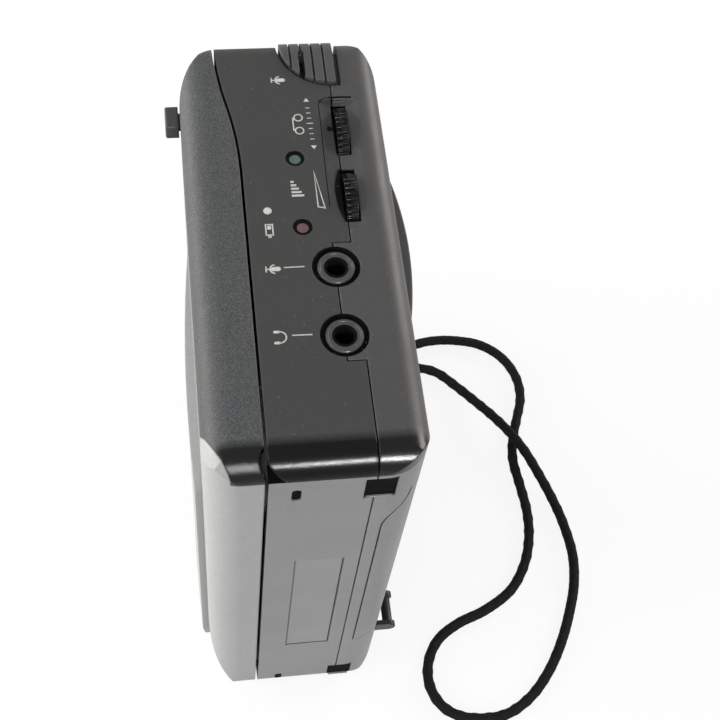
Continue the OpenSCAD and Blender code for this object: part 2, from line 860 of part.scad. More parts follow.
module rear_cover() {
  wall_y = rear_y - wall;
  color("Silver")
    difference() {
      union() {
        difference() {
          intersection() {
            case_shell(wall);
            block([-far, part_y, -over], [far, far, cap_z]);
          }
          side_cuts();
          lid_field(lid_gap);
          rod_y(speaker_r - wall, -speaker_x, speaker_z, part_y, rear_y + over);
        }
        for (p = screw_at)
          rod_y(boss_r, p[0], p[1], part_y, wall_y + wall / 2);
        block([tray_right_x - tray_t, tray_y, tray_low_z],
          [tray_right_x, wall_y + wall / 2, tray_top_z]);
        for (z = [tray_low_z, tray_top_z - tray_t]) {
          block([tray_right_x - tray_t, tray_y, z],
            [side_x - wall - cell_gap, rear_y - rear_round, z + tray_t]);
          block([tray_right_x - tray_t, tray_y, z],
            [side_x - rear_round, wall_y - cell_gap, z + tray_t]);
          rod_z(rear_round - wall - cell_gap, side_x - rear_round, rear_y - rear_round, z, z + tray_t);
          block([side_x - 2 * wall, part_y, z],
            [side_x - wall / 2, part_y + lid_set - lid_gap, z + tray_t]);
        }
      }
      for (p = screw_at) {
        rod_y(screw_r, p[0], p[1], part_y - over, rear_y);
        rod_y(screw_head_r + joint_gap, p[0], p[1], screw_y, rear_y + over);
      }
    }
}

module battery_door() {
  color("Silver")
    intersection() {
      case_shell(lid_t);
      lid_field(0);
    }
}

module speaker_grille() {
  slots = [-4, -3, -2, -1, 0, 1, 2, 3, 4];
  slot_l = panel_w - 2 * panel_round;
  crown = panel_out - panel_edge;
  crown_r = (panel_w * panel_w / 4 + crown * crown) / (2 * crown);
  color("DarkSlateGray")
    difference() {
      intersection() {
        translate([-speaker_x, 0, speaker_z])
          plate_y(panel_w, panel_h, panel_round, rear_y, panel_out + over);
        rod_z(crown_r, -speaker_x, rear_y + panel_out - crown_r, 0, case_h, $fn = 720);
      }
      for (i = slots)
        block([-speaker_x - slot_l / 2, rear_y - over, speaker_z + i * slot_pitch - slot_w / 2],
          [-speaker_x + slot_l / 2, rear_y + panel_out + over, speaker_z + i * slot_pitch + slot_w / 2]);
    }
}

// Upright swell of the raised panel, from the front face on its left to its crest
module panel_swell(inset) {
  run = plateau_left + plateau_crest;
  r = (run * run + plateau_rise * plateau_rise) / (2 * plateau_rise);
  rod_z(r - inset, plateau_crest, front_y - plateau_rise + r, -over, case_h + over, $fn = 720);
}

// Raised panel that carries the window, following the front
module plateau() {
  reach = plateau_left + plateau_round;
  w = reach + plateau_right;
  h = case_h - plateau_top - plateau_low;
  difference() {
    intersection() {
      translate([(plateau_right - reach) / 2, 0, plateau_low + h / 2])
        plate_y(w, h, plateau_round, front_y - plateau_rise - over, door_depth);
      case_block(-plateau_rise - joint_gap);
      panel_swell(0);
    }
    case_block(wall);
  }
}

// Window opening or window pane, grown by g, from y0 to y1
module window_pane(g, y0, y1) {
  translate([window_x, 0, window_z])
    plate_y(window_w + 2 * g, window_h + 2 * g, window_round + g, y0, y1 - y0);
}

latch_at = [left_x + latch_inset, case_h - latch_down];
latch_neck_w = latch_w - 2 * latch_lap;
latch_neck_h = latch_h - 2 * latch_lap;
latch_back_y = front_y + wall + latch_set;

// Slot in which the latch slides
module latch_slot() {
  half_w = latch_neck_w / 2 + side_gap;
  half_h = latch_neck_h / 2 + side_gap;
  block([latch_at[0] - half_w, front_y - over, latch_at[1] - half_h],
    [latch_at[0] + half_w + latch_travel, front_y + 2 * wall, latch_at[1] + half_h]);
}

// The door's share of the shell, with its edge relieved to swing about the hinge
module door_shell() {
  difference() {
    intersection() {
      case_shell(wall);
      door_field(0);
      block([-far, -far, door_lift], [far, far, case_h + over]);
    }
    rod_z(hinge_sweep, hinge_x, hinge_y, -over, case_h + over);
  }
}

// Each ear stands on a leaning arm, whose root joins the door's side wall
module hinge_ears() {
  root_w = 2 * ear_arm;
  root_y = hinge_y - hinge_sweep - joint_gap;
  reach = (hinge_sweep + joint_gap + ear_arm) / cos(ear_lean);
  for (z = ear_z)
    difference() {
      union() {
        rod_z(ear_r, hinge_x, hinge_y, z, z + ear_h);
        translate([hinge_x, hinge_y, z])
          rotate(-ear_lean)
            translate([-ear_arm / 2, -reach, 0])
              cube([ear_arm, reach, ear_h]);
        block([hinge_x - reach * sin(ear_lean) - ear_arm / 2, root_y - root_w, z],
          [side_x - wall / 2, root_y, z + ear_h]);
      }
      rod_z(hinge_pin_r + run_clear, hinge_x, hinge_y, z - over, z + ear_h + over);
    }
}

module cassette_door() {
  color("Silver")
    difference() {
      union() {
        intersection() {
          door_shell();
          silver_field();
        }
        plateau();
        hinge_ears();
      }
      window_pane(joint_gap, front_y - far / 2, front_y + 2 * wall);
    }
}

module door_top_band() {
  color("DimGray")
    difference() {
      door_shell();
      silver_field();
      latch_slot();
    }
}

module door_window() {
  rim_y = front_y + wall;
  color("LightSteelBlue") {
    intersection() {
      window_pane(0, front_y - plateau_rise - over, rim_y + window_t / 2);
      panel_swell(joint_gap);
    }
    window_pane(window_rim, rim_y, rim_y + window_t / 2);
  }
}

// Two leaf springs that press on the cassette
leaf_w = 7;
leaf_l = 9;
leaf_t = 0.4;
leaf_x = [-8, 30];
leaf_tilt = 14;
module door_springs() {
  y0 = front_y + wall;
  color("DarkGray")
    for (x = leaf_x)
      translate([x, y0, case_h - plateau_top - leaf_l / 2]) {
        translate([-leaf_w / 2, 0, -leaf_l / 2])
          cube([leaf_w, leaf_t, leaf_l]);
        translate([-leaf_w / 2, 0, leaf_l / 2])
          rotate([leaf_tilt, 0, 0])
            translate([0, 0, -leaf_l])
              cube([leaf_w, leaf_t, leaf_l]);
      }
}

module latch_slider() {
  x = latch_at[0];
  z = latch_at[1];
  color("DimGray") {
    block([x - latch_w / 2, front_y - latch_out, z - latch_h / 2],
      [x + latch_w / 2, front_y - side_gap, z + latch_h / 2]);
    block([x - latch_neck_w / 2, front_y - latch_out / 2, z - latch_neck_h / 2],
      [x + latch_neck_w / 2, latch_back_y + latch_plate_t / 2, z + latch_neck_h / 2]);
    block([x - latch_w / 2, latch_back_y, z - latch_h / 2],
      [x + latch_w / 2 + latch_travel, latch_back_y + latch_plate_t, z + latch_h / 2]);
  }
}

// Hook behind the latch plate, with its nose turned to the key side
hook_t = 1.6;
hook_l = 5;
module latch_hook() {
  x = latch_at[0] - latch_w / 2;
  y0 = latch_back_y + latch_plate_t;
  z = latch_at[1];
  color("DimGray") {
    block([x, y0, z - latch_h / 2], [x + hook_t, y0 + hook_l, z + latch_h / 2]);
    block([x - hook_t, y0 + hook_l - hook_t, z - latch_h / 2],
      [x + hook_t, y0 + hook_l, z + latch_h / 2]);
  }
}

// One key: the cap outside, a stop flange behind the wall and a stem
module key(i) {
  z = key_z(i);
  x0 = left_x - key_out;
  x1 = left_x + wall + key_clear;
  color("DimGray") {
    block([x0, key_y - key_w / 2, z - key_h / 2], [x1 + key_stop_t, key_y + key_w / 2, z + key_h / 2]);
    block([x1, key_y - key_w / 2, z - key_h / 2 - key_stop_lap],
      [x1 + key_stop_t, key_y + key_w / 2, z + key_h / 2 + key_stop_lap]);
    block([x1, key_y - key_stem_w / 2, z - key_h / 4],
      [x1 + key_stem_l, key_y + key_stem_w / 2, z + key_h / 4]);
  }
}

module stop_key() key(0);
module forward_key() key(1);
module rewind_key() key(2);
module play_key() key(3);
module record_key() key(4);

post_r = 1.4;
// Posts that carry the circuit board and the motor, in X and Z
post_inset = 15;
post_down = [10, 12];
board_posts = [[post_inset - side_x, case_h - post_down[0]],
  [mic_jack_x + jack_pitch / 2, case_h - post_down[1]]];
motor_post_x = [5, 6];
motor_post_z = [8.5, 8];
motor_posts = [[-motor_x - motor_post_x[0], motor_z + motor_post_z[0]],
  [-motor_x + motor_post_x[1], motor_z + motor_post_z[1]]];
motor_y = board_back - joint_gap;
chassis_low_z = 16;
chassis_top_z = case_h - 7;

module chassis_plate() {
  color("Gainsboro")
    difference() {
      union() {
        block([-side_x + chassis_inset, chassis_y, chassis_low_z],
          [side_x - deck_inset - wall, chassis_back, chassis_top_z]);
        for (p = board_posts)
          rod_y(post_r, p[0], p[1], chassis_back - chassis_t / 2, board_y);
        for (p = motor_posts)
          rod_y(post_r, p[0], p[1], chassis_back - chassis_t / 2, motor_y);
      }
      for (p = [supply_at, takeup_at])
        rod_y(reel_bore_r, p[0], p[1], chassis_y - over, chassis_back + over);
      rod_y(bush_r, capstan_at[0], capstan_at[1], chassis_y - over, chassis_back + over);
      for (p = screw_at)
        rod_y(boss_r + joint_gap, p[0], p[1], chassis_y - over, chassis_back + over);
      for (p = board_posts)
        rod_y(small_head_r / 2, p[0], p[1], board_y - 3 * small_head_r / 2, board_y + over);
    }
}

bush_reach = 2;
module capstan_bush() {
  color("Goldenrod")
    difference() {
      rod_y(bush_r, capstan_at[0], capstan_at[1], deck_y - bush_reach, chassis_back);
      rod_y(capstan_r + run_clear, capstan_at[0], capstan_at[1],
        deck_y - bush_reach - over, chassis_back + over);
    }
}

step_y = drive_y + flywheel_t;
module flywheel() {
  color("SlateGray")
    difference() {
      union() {
        rod_y(flywheel_r, capstan_at[0], capstan_at[1], drive_y, step_y);
        rod_y(step_r, capstan_at[0], capstan_at[1], step_y, step_y + step_t);
      }
      rod_y(capstan_r, capstan_at[0], capstan_at[1], drive_y - over, step_y + step_t + over);
    }
}

module capstan_shaft() {
  color("WhiteSmoke")
    rod_y(capstan_r, capstan_at[0], capstan_at[1], deck_y - capstan_reach, step_y + step_t);
}

// Reel spindle: a bladed tip in the bay, a collar, a shaft and a pulley behind the chassis
blade_t = 1;
module spindle(p) {
  collar_y = deck_y - side_gap - blade_t;
  color("WhiteSmoke") {
    rod_y(reel_tip_r - 1.4, p[0], p[1], deck_y - reel_reach, collar_y);
    rod_y(reel_tip_r, p[0], p[1], collar_y, deck_y - side_gap);
    rod_y(reel_shaft_r, p[0], p[1], collar_y, step_y + step_t);
    for (a = [0, 120, 240])
      translate([p[0], 0, p[1]])
        rotate([0, a, 0])
          block([0, deck_y - reel_reach + blade_t, -blade_t / 2],
            [reel_tip_r, collar_y + blade_t / 2, blade_t / 2]);
    rod_y(reel_tip_r, p[0], p[1], drive_y, step_y);
    rod_y(reel_pulley_r, p[0], p[1], step_y, step_y + step_t);
  }
}

module supply_spindle() spindle(supply_at);
module takeup_spindle() spindle(takeup_at);

module motor_body() {
  rim = 1;
  color("LightGray")
    difference() {
      union() {
        rod_y(motor_r, motor_at[0], motor_at[1], motor_y + rim, motor_y + motor_l);
        rod_y(motor_r - rim, motor_at[0], motor_at[1], motor_y, motor_y + motor_l);
      }
      rod_y(motor_shaft_r + run_clear, motor_at[0], motor_at[1], motor_y - over, motor_y + motor_l / 2);
    }
}

module motor_pulley() {
  color("Goldenrod") {
    rod_y(motor_pulley_r, motor_at[0], motor_at[1], drive_y, step_y);
    rod_y(motor_shaft_r, motor_at[0], motor_at[1], drive_y, motor_y + motor_l / 2 - side_gap);
  }
}

// Wedge from a centre, wide enough to clear a pulley of radius r
module wedge(r, from, to) {
  rim = [for (k = [0:4]) let (a = from + (to - from) * k / 4) 3 * r * [cos(a), sin(a)]];
  polygon(concat([[0, 0]], rim));
}

// Part of a belt that lies on a pulley of radius r, left out between two directions
module belt_wrap(r, from, to) {
  linear_extrude(belt_t)
    difference() {
      circle(r + belt_t);
      circle(r);
      wedge(r + belt_t, from, to);
    }
}

// Belt round two pulleys in X and Z, its middle at y
module belt(p, pulley_p, q, pulley_q, y) {
  rp = pulley_p + run_clear;
  rq = pulley_q + run_clear;
  d = norm(q - p);
  lean = acos((rp - rq) / d);
  run = d * sin(lean);
  color("Black")
    translate([p[0], y + belt_t / 2, p[1]])
      rotate([90, 0, 0])
        rotate(atan2(q[1] - p[1], q[0] - p[0])) {
          belt_wrap(rp, -lean, lean);
          translate([d, 0, 0])
            belt_wrap(rq, lean, 360 - lean);
          for (s = [-1, 1])
            rotate(s * lean)
              translate([rp, s > 0 ? -run - belt_t / 4 : -belt_t / 4, 0])
                cube([belt_t, run + belt_t / 2, belt_t]);
        }
}

module drive_belt() belt(motor_at, motor_pulley_r, capstan_at, flywheel_r, drive_y + flywheel_t / 2);
module takeup_belt() belt(capstan_at, step_r, takeup_at, reel_pulley_r, step_y + step_t / 2);

carriage_x = -side_x + wall + 1.2;
head_x = carriage_x + carriage_w / 2;
pinch_x = capstan_at[0] - capstan_r - pinch_r - carriage_travel - side_gap;
pinch_y = carriage_y - carriage_t - side_gap;
module head_carriage() {
  slot_w = 2 * stud_r + 2 * side_gap;
  color("LightGray")
    difference() {
      block([carriage_x, carriage_y, reel_mid_z - carriage_h / 2],
        [carriage_x + carriage_w, carriage_y + carriage_t, reel_mid_z + carriage_h / 2]);
      for (z = stud_z)
        block([stud_x - stud_r - side_gap - carriage_travel, carriage_y - over, z - slot_w / 2],
          [stud_x + stud_r + side_gap, carriage_y + carriage_t + over, z + slot_w / 2]);
    }
}

module record_head() {
  color("Silver")
    block([head_x, carriage_y - head_h, reel_mid_z - head_w / 2],
      [head_x + head_l, carriage_y, reel_mid_z + head_w / 2]);
}

module erase_head() {
  z = reel_mid_z + erase_up;
  color("DimGray")
    block([head_x, carriage_y - head_h, z - erase_w / 2],
      [head_x + head_l - wall, carriage_y, z + erase_w / 2]);
}

module pinch_arm() {
  z = capstan_at[1];
  color("LightGray") {
    block([head_x - wall, carriage_y - carriage_t, z - pinch_r / 2],
      [pinch_x + pinch_r / 2, carriage_y, z + pinch_r / 2]);
    rod_y(pinch_pin_r, pinch_x, z, pinch_y - pinch_l - side_gap, carriage_y);
  }
}

module pinch_roller() {
  color("Black")
    difference() {
      rod_y(pinch_r, pinch_x, capstan_at[1], pinch_y - pinch_l, pinch_y);
      rod_y(pinch_pin_r + run_clear, pinch_x, capstan_at[1], pinch_y - pinch_l - over, pinch_y + over);
    }
}

board_inset = 11;
board_left = board_inset - side_x;
board_right = tray_right_x - tray_t - side_gap;
jack_body_z = cap_z - wall;
board_top_z = jack_body_z - over - joint_gap;
module circuit_board() {
  strip_z = case_h - wall - joint_gap;
  color("DarkGreen")
    difference() {
      union() {
        block([board_left, board_y, board_low_z], [board_right, board_back, board_top_z]);
        block([board_left + wall, board_y, board_top_z - over],
          [-record_x + wall, board_back, strip_z]);
        block([board_right - over, board_y, tray_top_z + 2 * wall],
          [monitor_jack_x + jog_side, board_back, board_top_z]);
      }
      for (p = board_posts)
        rod_y(small_head_r / 2, p[0], p[1], board_y - over, board_back + over);
    }
}

// Blocks and cans on the back of the board, from its lower left corner
chip_at = [[19, 6, 10, 6], [30, 5, 8, 5], [9, 20, 5, 9], [30, 23, 9, 5]];
can_at = [[4, 8, 2.5], [4, 16, 2], [24, 16, 2.5], [33, 14, 2], [18, 27, 2.2]];
module board_components() {
  color("DarkSlateGray")
    translate([board_left, board_back, board_low_z]) {
      for (c = chip_at)
        block([c[0] - c[2] / 2, 0, c[1] - c[3] / 2], [c[0] + c[2] / 2, part_h / 2, c[1] + c[3] / 2]);
      for (c = can_at)
        rod_y(c[2], c[0], c[1], 0, part_h);
    }
}

// Control body and fixed shaft behind a thumbwheel
module pot(x) {
  y1 = wheel_y - wheel_t / 2 - side_gap;
  color("SlateGray") {
    rod_y(pot_r, x, wheel_z, board_back, y1);
    rod_y(wheel_shaft_r, x, wheel_z, y1 - over, wheel_y + wheel_t / 2 + side_gap);
  }
}

module volume_pot() pot(-volume_x);
module speed_pot() pot(-speed_x);

// Thumbwheel with a fine notched rim
notch_count = 40;
notch_r = 0.3;
module thumbwheel(x) {
  y0 = wheel_y - wheel_t / 2;
  y1 = wheel_y + wheel_t / 2;
  color("DimGray")
    difference() {
      rod_y(wheel_r, x, wheel_z, y0, y1);
      rod_y(wheel_shaft_r + run_clear, x, wheel_z, y0 - over, y1 + over);
      for (i = [0:notch_count - 1])
        translate([x, 0, wheel_z])
          rotate([0, i * 360 / notch_count, 0])
            rod_y(notch_r, 0, wheel_r, y0 - over, y1 + over);
    }
}

module volume_wheel() thumbwheel(-volume_x);
module speed_wheel() thumbwheel(-speed_x);

// Lamp lens with two leads that reach the board
lead_w = 0.6;
module lamp(x, tint) {
  base_z = case_h - wall - lamp_r;
  lead_z = base_z - 2 * lamp_r;
  color(tint) {
    rod_z(lamp_r, x, lamp_y, base_z, case_h - lamp_r / 3);
    rod_z(lamp_rim_r - joint_gap, x, lamp_y, base_z - lamp_r, base_z);
    for (s = [-1, 1]) {
      block([x + s * lead_w - lead_w / 2, lamp_y - lead_w / 2, lead_z],
        [x + s * lead_w + lead_w / 2, lamp_y + lead_w / 2, base_z - lead_w]);
      block([x + s * lead_w - lead_w / 2, lamp_y - lead_w / 2, lead_z],
        [x + s * lead_w + lead_w / 2, board_y, lead_z + lead_w]);
    }
  }
}

module level_lamp() lamp(-level_x, "SeaGreen");
module record_lamp() lamp(-record_x, "IndianRed");

// Small plug socket: a bush in the top and a body on the board
module jack(x) {
  color("Black")
    difference() {
      union() {
        rod_z(jack_bush_r, x, jack_y, jack_body_z - over, case_h - jack_rim_depth / 3);
        block([x - jack_body_w / 2, board_back, case_h - jack_depth - wall],
          [x + jack_body_w / 2, part_y, jack_body_z]);
      }
      rod_z(jack_r, x, jack_y, case_h - jack_depth, case_h + over);
    }
}

module mic_jack() jack(mic_jack_x);
module monitor_jack() jack(monitor_jack_x);

flange_t = 1;
module mic_grille() {
  low = wall / 3;
  ribs = [0, 1, 2, 3, 4];
  rib_y = grille_back - rib_w / 2 - 4 * rib_pitch - joint_gap;
  slot_y = rib_y + 1.5 * rib_pitch;
  slot_x0 = grille_x + 2;
  slot_l = 6;
  color("DimGray")
    difference() {
      union() {
        intersection() {
          difference() {
            case_block(low);
            case_block(wall + flange_t);
          }
          grille_plan(0, cap_z, case_h);
        }
        intersection() {
          difference() {
            case_block(wall);
            case_block(wall + flange_t);
          }
          grille_plan(2 * grille_gap + over, cap_z, case_h);
        }
        for (i = ribs)
          intersection() {
            difference() {
              case_block(-rib_out);
              case_block(wall);
            }
            grille_plan(0, cap_z, case_h + over);
            block([-far, rib_y + i * rib_pitch - rib_w / 2, 0],
              [far, rib_y + i * rib_pitch + rib_w / 2, far]);
          }
      }
      block([slot_x0, slot_y - mic_slot_w / 2, cap_z],
        [slot_x0 + slot_l, slot_y + mic_slot_w / 2, case_h + over]);
    }
}

capsule_x = grille_x + 7;
module mic_capsule() {
  z1 = case_h - wall - flange_t;
  color("Gray")
    rod_z(capsule_r, capsule_x, grille_y - rib_pitch * 2, z1 - capsule_l, z1);
}

magnet_l = 2;
speaker_y = rear_y - wall - speaker_l;
module speaker_frame() {
  ring_t = 1;
  color("Gray")
    difference() {
      union() {
        rod_y(speaker_r, -speaker_x, speaker_z, rear_y - wall - ring_t, rear_y - wall);
        rod_y(speaker_r - 2, -speaker_x, speaker_z, speaker_y + magnet_l, rear_y - wall - ring_t);
      }
      rod_y(speaker_r - 2 - ring_t, -speaker_x, speaker_z, speaker_y + magnet_l + ring_t, rear_y);
    }
}

module speaker_magnet() {
  color("DarkGray")
    rod_y(magnet_r, -speaker_x, speaker_z, speaker_y, speaker_y + magnet_l);
}

// Thin paper cone with a round dust cap
cone_t = 0.5;
module speaker_cone() {
  rim_r = speaker_r - 3 - joint_gap;
  cap_r = 4;
  depth = speaker_l - magnet_l - 2 - cone_t;
  color("DarkSlateGray")
    translate([-speaker_x, rear_y - wall - cone_t, speaker_z])
      rotate([90, 0, 0])
        rotate_extrude()
          polygon([[0, depth - cone_t], [cap_r, depth - cone_t], [rim_r - 1, 0], [rim_r, 0],
            [rim_r, cone_t], [rim_r - 1, cone_t], [cap_r, depth], [0, depth]]);
}

// Penlight cells, the right one turned over
module battery_cells() {
  button_r = 2.7;
  button_l = 1;
  color("Chocolate")
    for (i = [0, 1])
      translate([cell_x[i], cell_y, cell_low_z]) {
        translate([0, 0, i == 0 ? button_l : 0])
          cylinder(r = cell_r, h = cell_l - button_l);
        translate([0, 0, i == 0 ? 0 : cell_l - button_l - over])
          cylinder(r = button_r, h = button_l + over);
      }
}

module battery_contacts() {
  contact_w = 10;
  low_z = tray_low_z + tray_t;
  top_z = tray_top_z - tray_t - contact_t;
  color("WhiteSmoke") {
    for (x = cell_x)
      block([x - contact_w / 2, cell_y - contact_w / 2, low_z],
        [x + contact_w / 2, cell_y + contact_w / 2, low_z + contact_t]);
    block([cell_x[1] - contact_w / 2, cell_y - contact_w / 2, top_z],
      [cell_x[0] + contact_w / 2, cell_y + contact_w / 2, top_z + contact_t]);
  }
}

// Conical contact springs under the cells
module battery_springs() {
  wire_r = 0.35;
  turns = 4;
  rise = (spring_l - 2 * wire_r) / (turns - 1);
  color("WhiteSmoke")
    for (x = cell_x)
      translate([x, cell_y, cell_low_z - spring_l + wire_r])
        for (i = [0:turns - 1])
          translate([0, 0, i * rise])
            rotate_extrude()
              translate([3.6 - i * wire_r, 0])
                circle(wire_r, $fn = 16);
}

module hinge_pins() {
  color("WhiteSmoke")
    pin_rods(hinge_pin_r);
}

module case_screws() {
  head_t = 1;
  color("DarkGray")
    for (p = screw_at) {
      rod_y(screw_r, p[0], p[1], screw_end_y, screw_y + head_t / 2);
      difference() {
        rod_y(screw_head_r, p[0], p[1], screw_y, screw_y + head_t);
        for (s = [[2.4, 0.5], [0.5, 2.4]])
          block([p[0] - s[0] / 2, screw_y + head_t / 2, p[1] - s[1] / 2],
            [p[0] + s[0] / 2, rear_y, p[1] + s[1] / 2]);
      }
    }
}

module chassis_screws() {
  head_t = 0.9;
  color("WhiteSmoke")
    for (p = board_posts) {
      rod_y(small_head_r / 2, p[0], p[1], board_y - small_head_r, board_back + head_t / 2);
      rod_y(small_head_r, p[0], p[1], board_back, board_back + head_t);
    }
}

// Rod along X from x0 to x1
module rod_x(r, y, z, x0, x1) {
  translate([x0, y, z])
    rotate([0, 90, 0])
      cylinder(r = r, h = x1 - x0);
}

eyelet_x = side_x - eyelet_inset;
bar_y = rear_y + eyelet_out - eyelet_bar_r;
cheek_t = 1.2;
cheek_r = eyelet_bar_r + 0.5;
// A loop on each rear corner: two cheeks and a bar
module strap_eyelets() {
  color("DarkSlateGray")
    difference() {
      for (x = [-eyelet_x, eyelet_x]) {
        rod_x(eyelet_bar_r, bar_y, eyelet_z, x - eyelet_w / 2, x + eyelet_w / 2);
        for (x0 = [x - eyelet_w / 2, x + eyelet_w / 2 - cheek_t]) {
          rod_x(cheek_r, bar_y, eyelet_z, x0, x0 + cheek_t);
          block([x0, rear_y - wall, eyelet_z - cheek_r], [x0 + cheek_t, bar_y, eyelet_z + cheek_r]);
        }
      }
      case_block(0);
    }
}

tab_ring_r = eyelet_bar_r + 0.9;
tab_hole_r = eyelet_bar_r + 0.15;
tab_neck_w = eyelet_w - 2 * cheek_t - 2 * side_gap;
tab_low_z = eyelet_z - 10;
// Moulded end of the strap, hung on the left bar
module strap_end() {
  x = -eyelet_x;
  color("DarkSlateGray")
    difference() {
      union() {
        rod_x(tab_ring_r, bar_y, eyelet_z, x - tab_neck_w / 2, x + tab_neck_w / 2);
        block([x - tab_neck_w / 2, bar_y - tab_ring_r, eyelet_z - 4],
          [x + tab_neck_w / 2, bar_y + tab_ring_r, eyelet_z]);
        block([x - tab_w / 2, bar_y - tab_ring_r, tab_low_z],
          [x + tab_w / 2, bar_y + tab_ring_r, eyelet_z - cheek_r - side_gap]);
      }
      rod_x(tab_hole_r, bar_y, eyelet_z, x - eyelet_w, x + eyelet_w);
    }
}

// Route of the strap cord, from the strap end over the table and back
cord_at = [
  [-37.1, 20.8, 12], [-37.1, 20.8, 9.5], [-37.2, 20.8, 7], [-37.5, 22.4, 3], [-38.3, 26.3, 1.4],
  [-40, 31, 1.4], [-42.2, 36.5, 1.4], [-44.2, 42, 1.4], [-44.8, 47, 1.4], [-44.4, 52, 1.4],
  [-43, 57.5, 1.4], [-40, 62, 1.4], [-36, 65, 1.4], [-31, 66.6, 1.4], [-25.5, 66.4, 1.4],
  [-19.7, 64.4, 1.4], [-14, 62.4, 1.4], [-8, 61.4, 1.4], [-1, 62, 1.4], [6, 62.5, 1.4],
  [13, 61.8, 1.4], [20, 59.4, 1.4], [26.4, 54.8, 1.4], [30.8, 47.8, 1.4], [33.5, 40.8, 1.4],
  [37, 35.4, 1.4], [42, 32.3, 1.4], [47.6, 31.7, 1.4], [52.6, 33.8, 1.4], [55.6, 38, 1.4],
  [56.6, 43.8, 1.4], [55.8, 49.6, 1.4], [52.2, 55.6, 1.4], [46.6, 60.8, 1.4], [40, 65, 1.4],
  [33, 68.3, 1.4], [26, 70.8, 1.4], [18.5, 71.9, 1.4], [10.5, 71.2, 1.4], [3.6, 69.6, 1.6],
  [-3.4, 67, 2.6], [-9.4, 64.2, 3.9], [-14.6, 61.2, 4.3], [-20, 57.6, 3.8], [-25.2, 54, 2.5],
  [-30.4, 50, 1.5], [-34.8, 45.6, 1.4], [-36.6, 41, 1.4], [-36.4, 36, 1.4], [-35.5, 31, 1.4],
  [-34.5, 26.3, 1.4], [-33.9, 22.4, 3], [-33.8, 20.8, 7], [-33.8, 20.8, 9.5], [-33.8, 20.8, 12]];
cord_sides = 8;
cord_last = len(cord_at) - 1;

function unit(v) = v / norm(v);
function cord_way(i) =
  i == 0 || i == cord_last ? [0, 0, i == 0 ? -1 : 1] : unit(cord_at[i + 1] - cord_at[i - 1]);
function square_to(v, way) = unit(v - (v * way) * way);

// Sideways direction at each point, carried along without twist
cord_side = [
  for (i = 0, s = [1, 0, 0]; i <= cord_last; i = i + 1, s = square_to(s, cord_way(min(i, cord_last)))) s];
cord_step = 360 / cord_sides;
cord_ring = [for (i = [0:cord_last]) let (s = cord_side[i], u = cross(cord_way(i), s))
  for (k = [0:cord_sides - 1]) let (a = (k + 0.5) * cord_step)
    cord_at[i] + cord_d / 2 * (cos(a) * s + sin(a) * u)];

module wrist_strap() {
  n = cord_sides;
  walls = [for (i = [0:cord_last - 1], k = [0:n - 1]) let (a = i * n + k, b = i * n + (k + 1) % n)
    each [[a, a + n, b], [b, a + n, b + n]]];
  first = [for (k = [1:n - 2]) [0, k, k + 1]];
  last = [for (k = [1:n - 2]) [cord_last * n, cord_last * n + k + 1, cord_last * n + k]];
  color("Black")
    polyhedron(cord_ring, concat(walls, first, last));
}

centre_case();
control_panel();
rear_cover();
rear_top_cap();
cassette_door();
door_top_band();
door_window();
door_springs();
latch_slider();
latch_hook();
hinge_pins();
record_key();
play_key();
rewind_key();
forward_key();
stop_key();
chassis_plate();
chassis_screws();
capstan_bush();
flywheel();
capstan_shaft();
supply_spindle();
takeup_spindle();
motor_body();
motor_pulley();
drive_belt();
takeup_belt();
head_carriage();
record_head();
erase_head();
pinch_arm();
pinch_roller();
circuit_board();
board_components();
volume_pot();
speed_pot();
volume_wheel();
speed_wheel();
level_lamp();
record_lamp();
mic_jack();
monitor_jack();
mic_grille();
mic_capsule();
speaker_grille();
speaker_frame();
speaker_magnet();
speaker_cone();
battery_door();
battery_cells();
battery_contacts();
battery_springs();
case_screws();
strap_eyelets();
strap_end();
wrist_strap();
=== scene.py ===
"""Looks of a pocket dictation recorder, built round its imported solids."""
import json
import math

import bmesh
import bpy
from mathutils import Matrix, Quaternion, Vector

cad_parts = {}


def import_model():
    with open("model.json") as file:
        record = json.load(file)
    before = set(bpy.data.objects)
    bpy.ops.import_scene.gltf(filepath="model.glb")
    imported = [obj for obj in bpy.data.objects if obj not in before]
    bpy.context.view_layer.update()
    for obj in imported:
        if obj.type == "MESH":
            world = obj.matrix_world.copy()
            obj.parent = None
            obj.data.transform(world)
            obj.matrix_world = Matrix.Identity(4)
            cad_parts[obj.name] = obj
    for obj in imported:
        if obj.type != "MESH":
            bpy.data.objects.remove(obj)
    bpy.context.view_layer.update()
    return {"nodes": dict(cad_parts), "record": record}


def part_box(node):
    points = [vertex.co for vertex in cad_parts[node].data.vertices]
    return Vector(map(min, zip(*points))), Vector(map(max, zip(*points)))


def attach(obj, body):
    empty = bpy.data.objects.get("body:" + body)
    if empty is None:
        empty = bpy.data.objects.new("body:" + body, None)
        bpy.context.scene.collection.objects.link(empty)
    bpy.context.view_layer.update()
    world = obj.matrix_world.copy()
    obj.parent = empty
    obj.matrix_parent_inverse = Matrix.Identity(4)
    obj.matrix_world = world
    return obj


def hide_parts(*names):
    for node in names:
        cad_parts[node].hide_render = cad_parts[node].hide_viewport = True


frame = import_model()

NODES = frame["nodes"]
BODY_OF = {node: body for body, nodes in frame["record"]["behaviour"]["bodies"].items() for node in nodes}
MM = 0.001


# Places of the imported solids, in millimetres
def low_of(node):
    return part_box(node)[0] / MM


def high_of(node):
    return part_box(node)[1] / MM


def middle_of(node):
    return (low_of(node) + high_of(node)) / 2


PANEL_TOP = high_of("control_panel").z
PANEL_FOOT = low_of("control_panel").z
CASE_LEFT = low_of("centre_case").x
CASE_RIGHT = high_of("centre_case").x
CASE_BACK = high_of("rear_cover").y

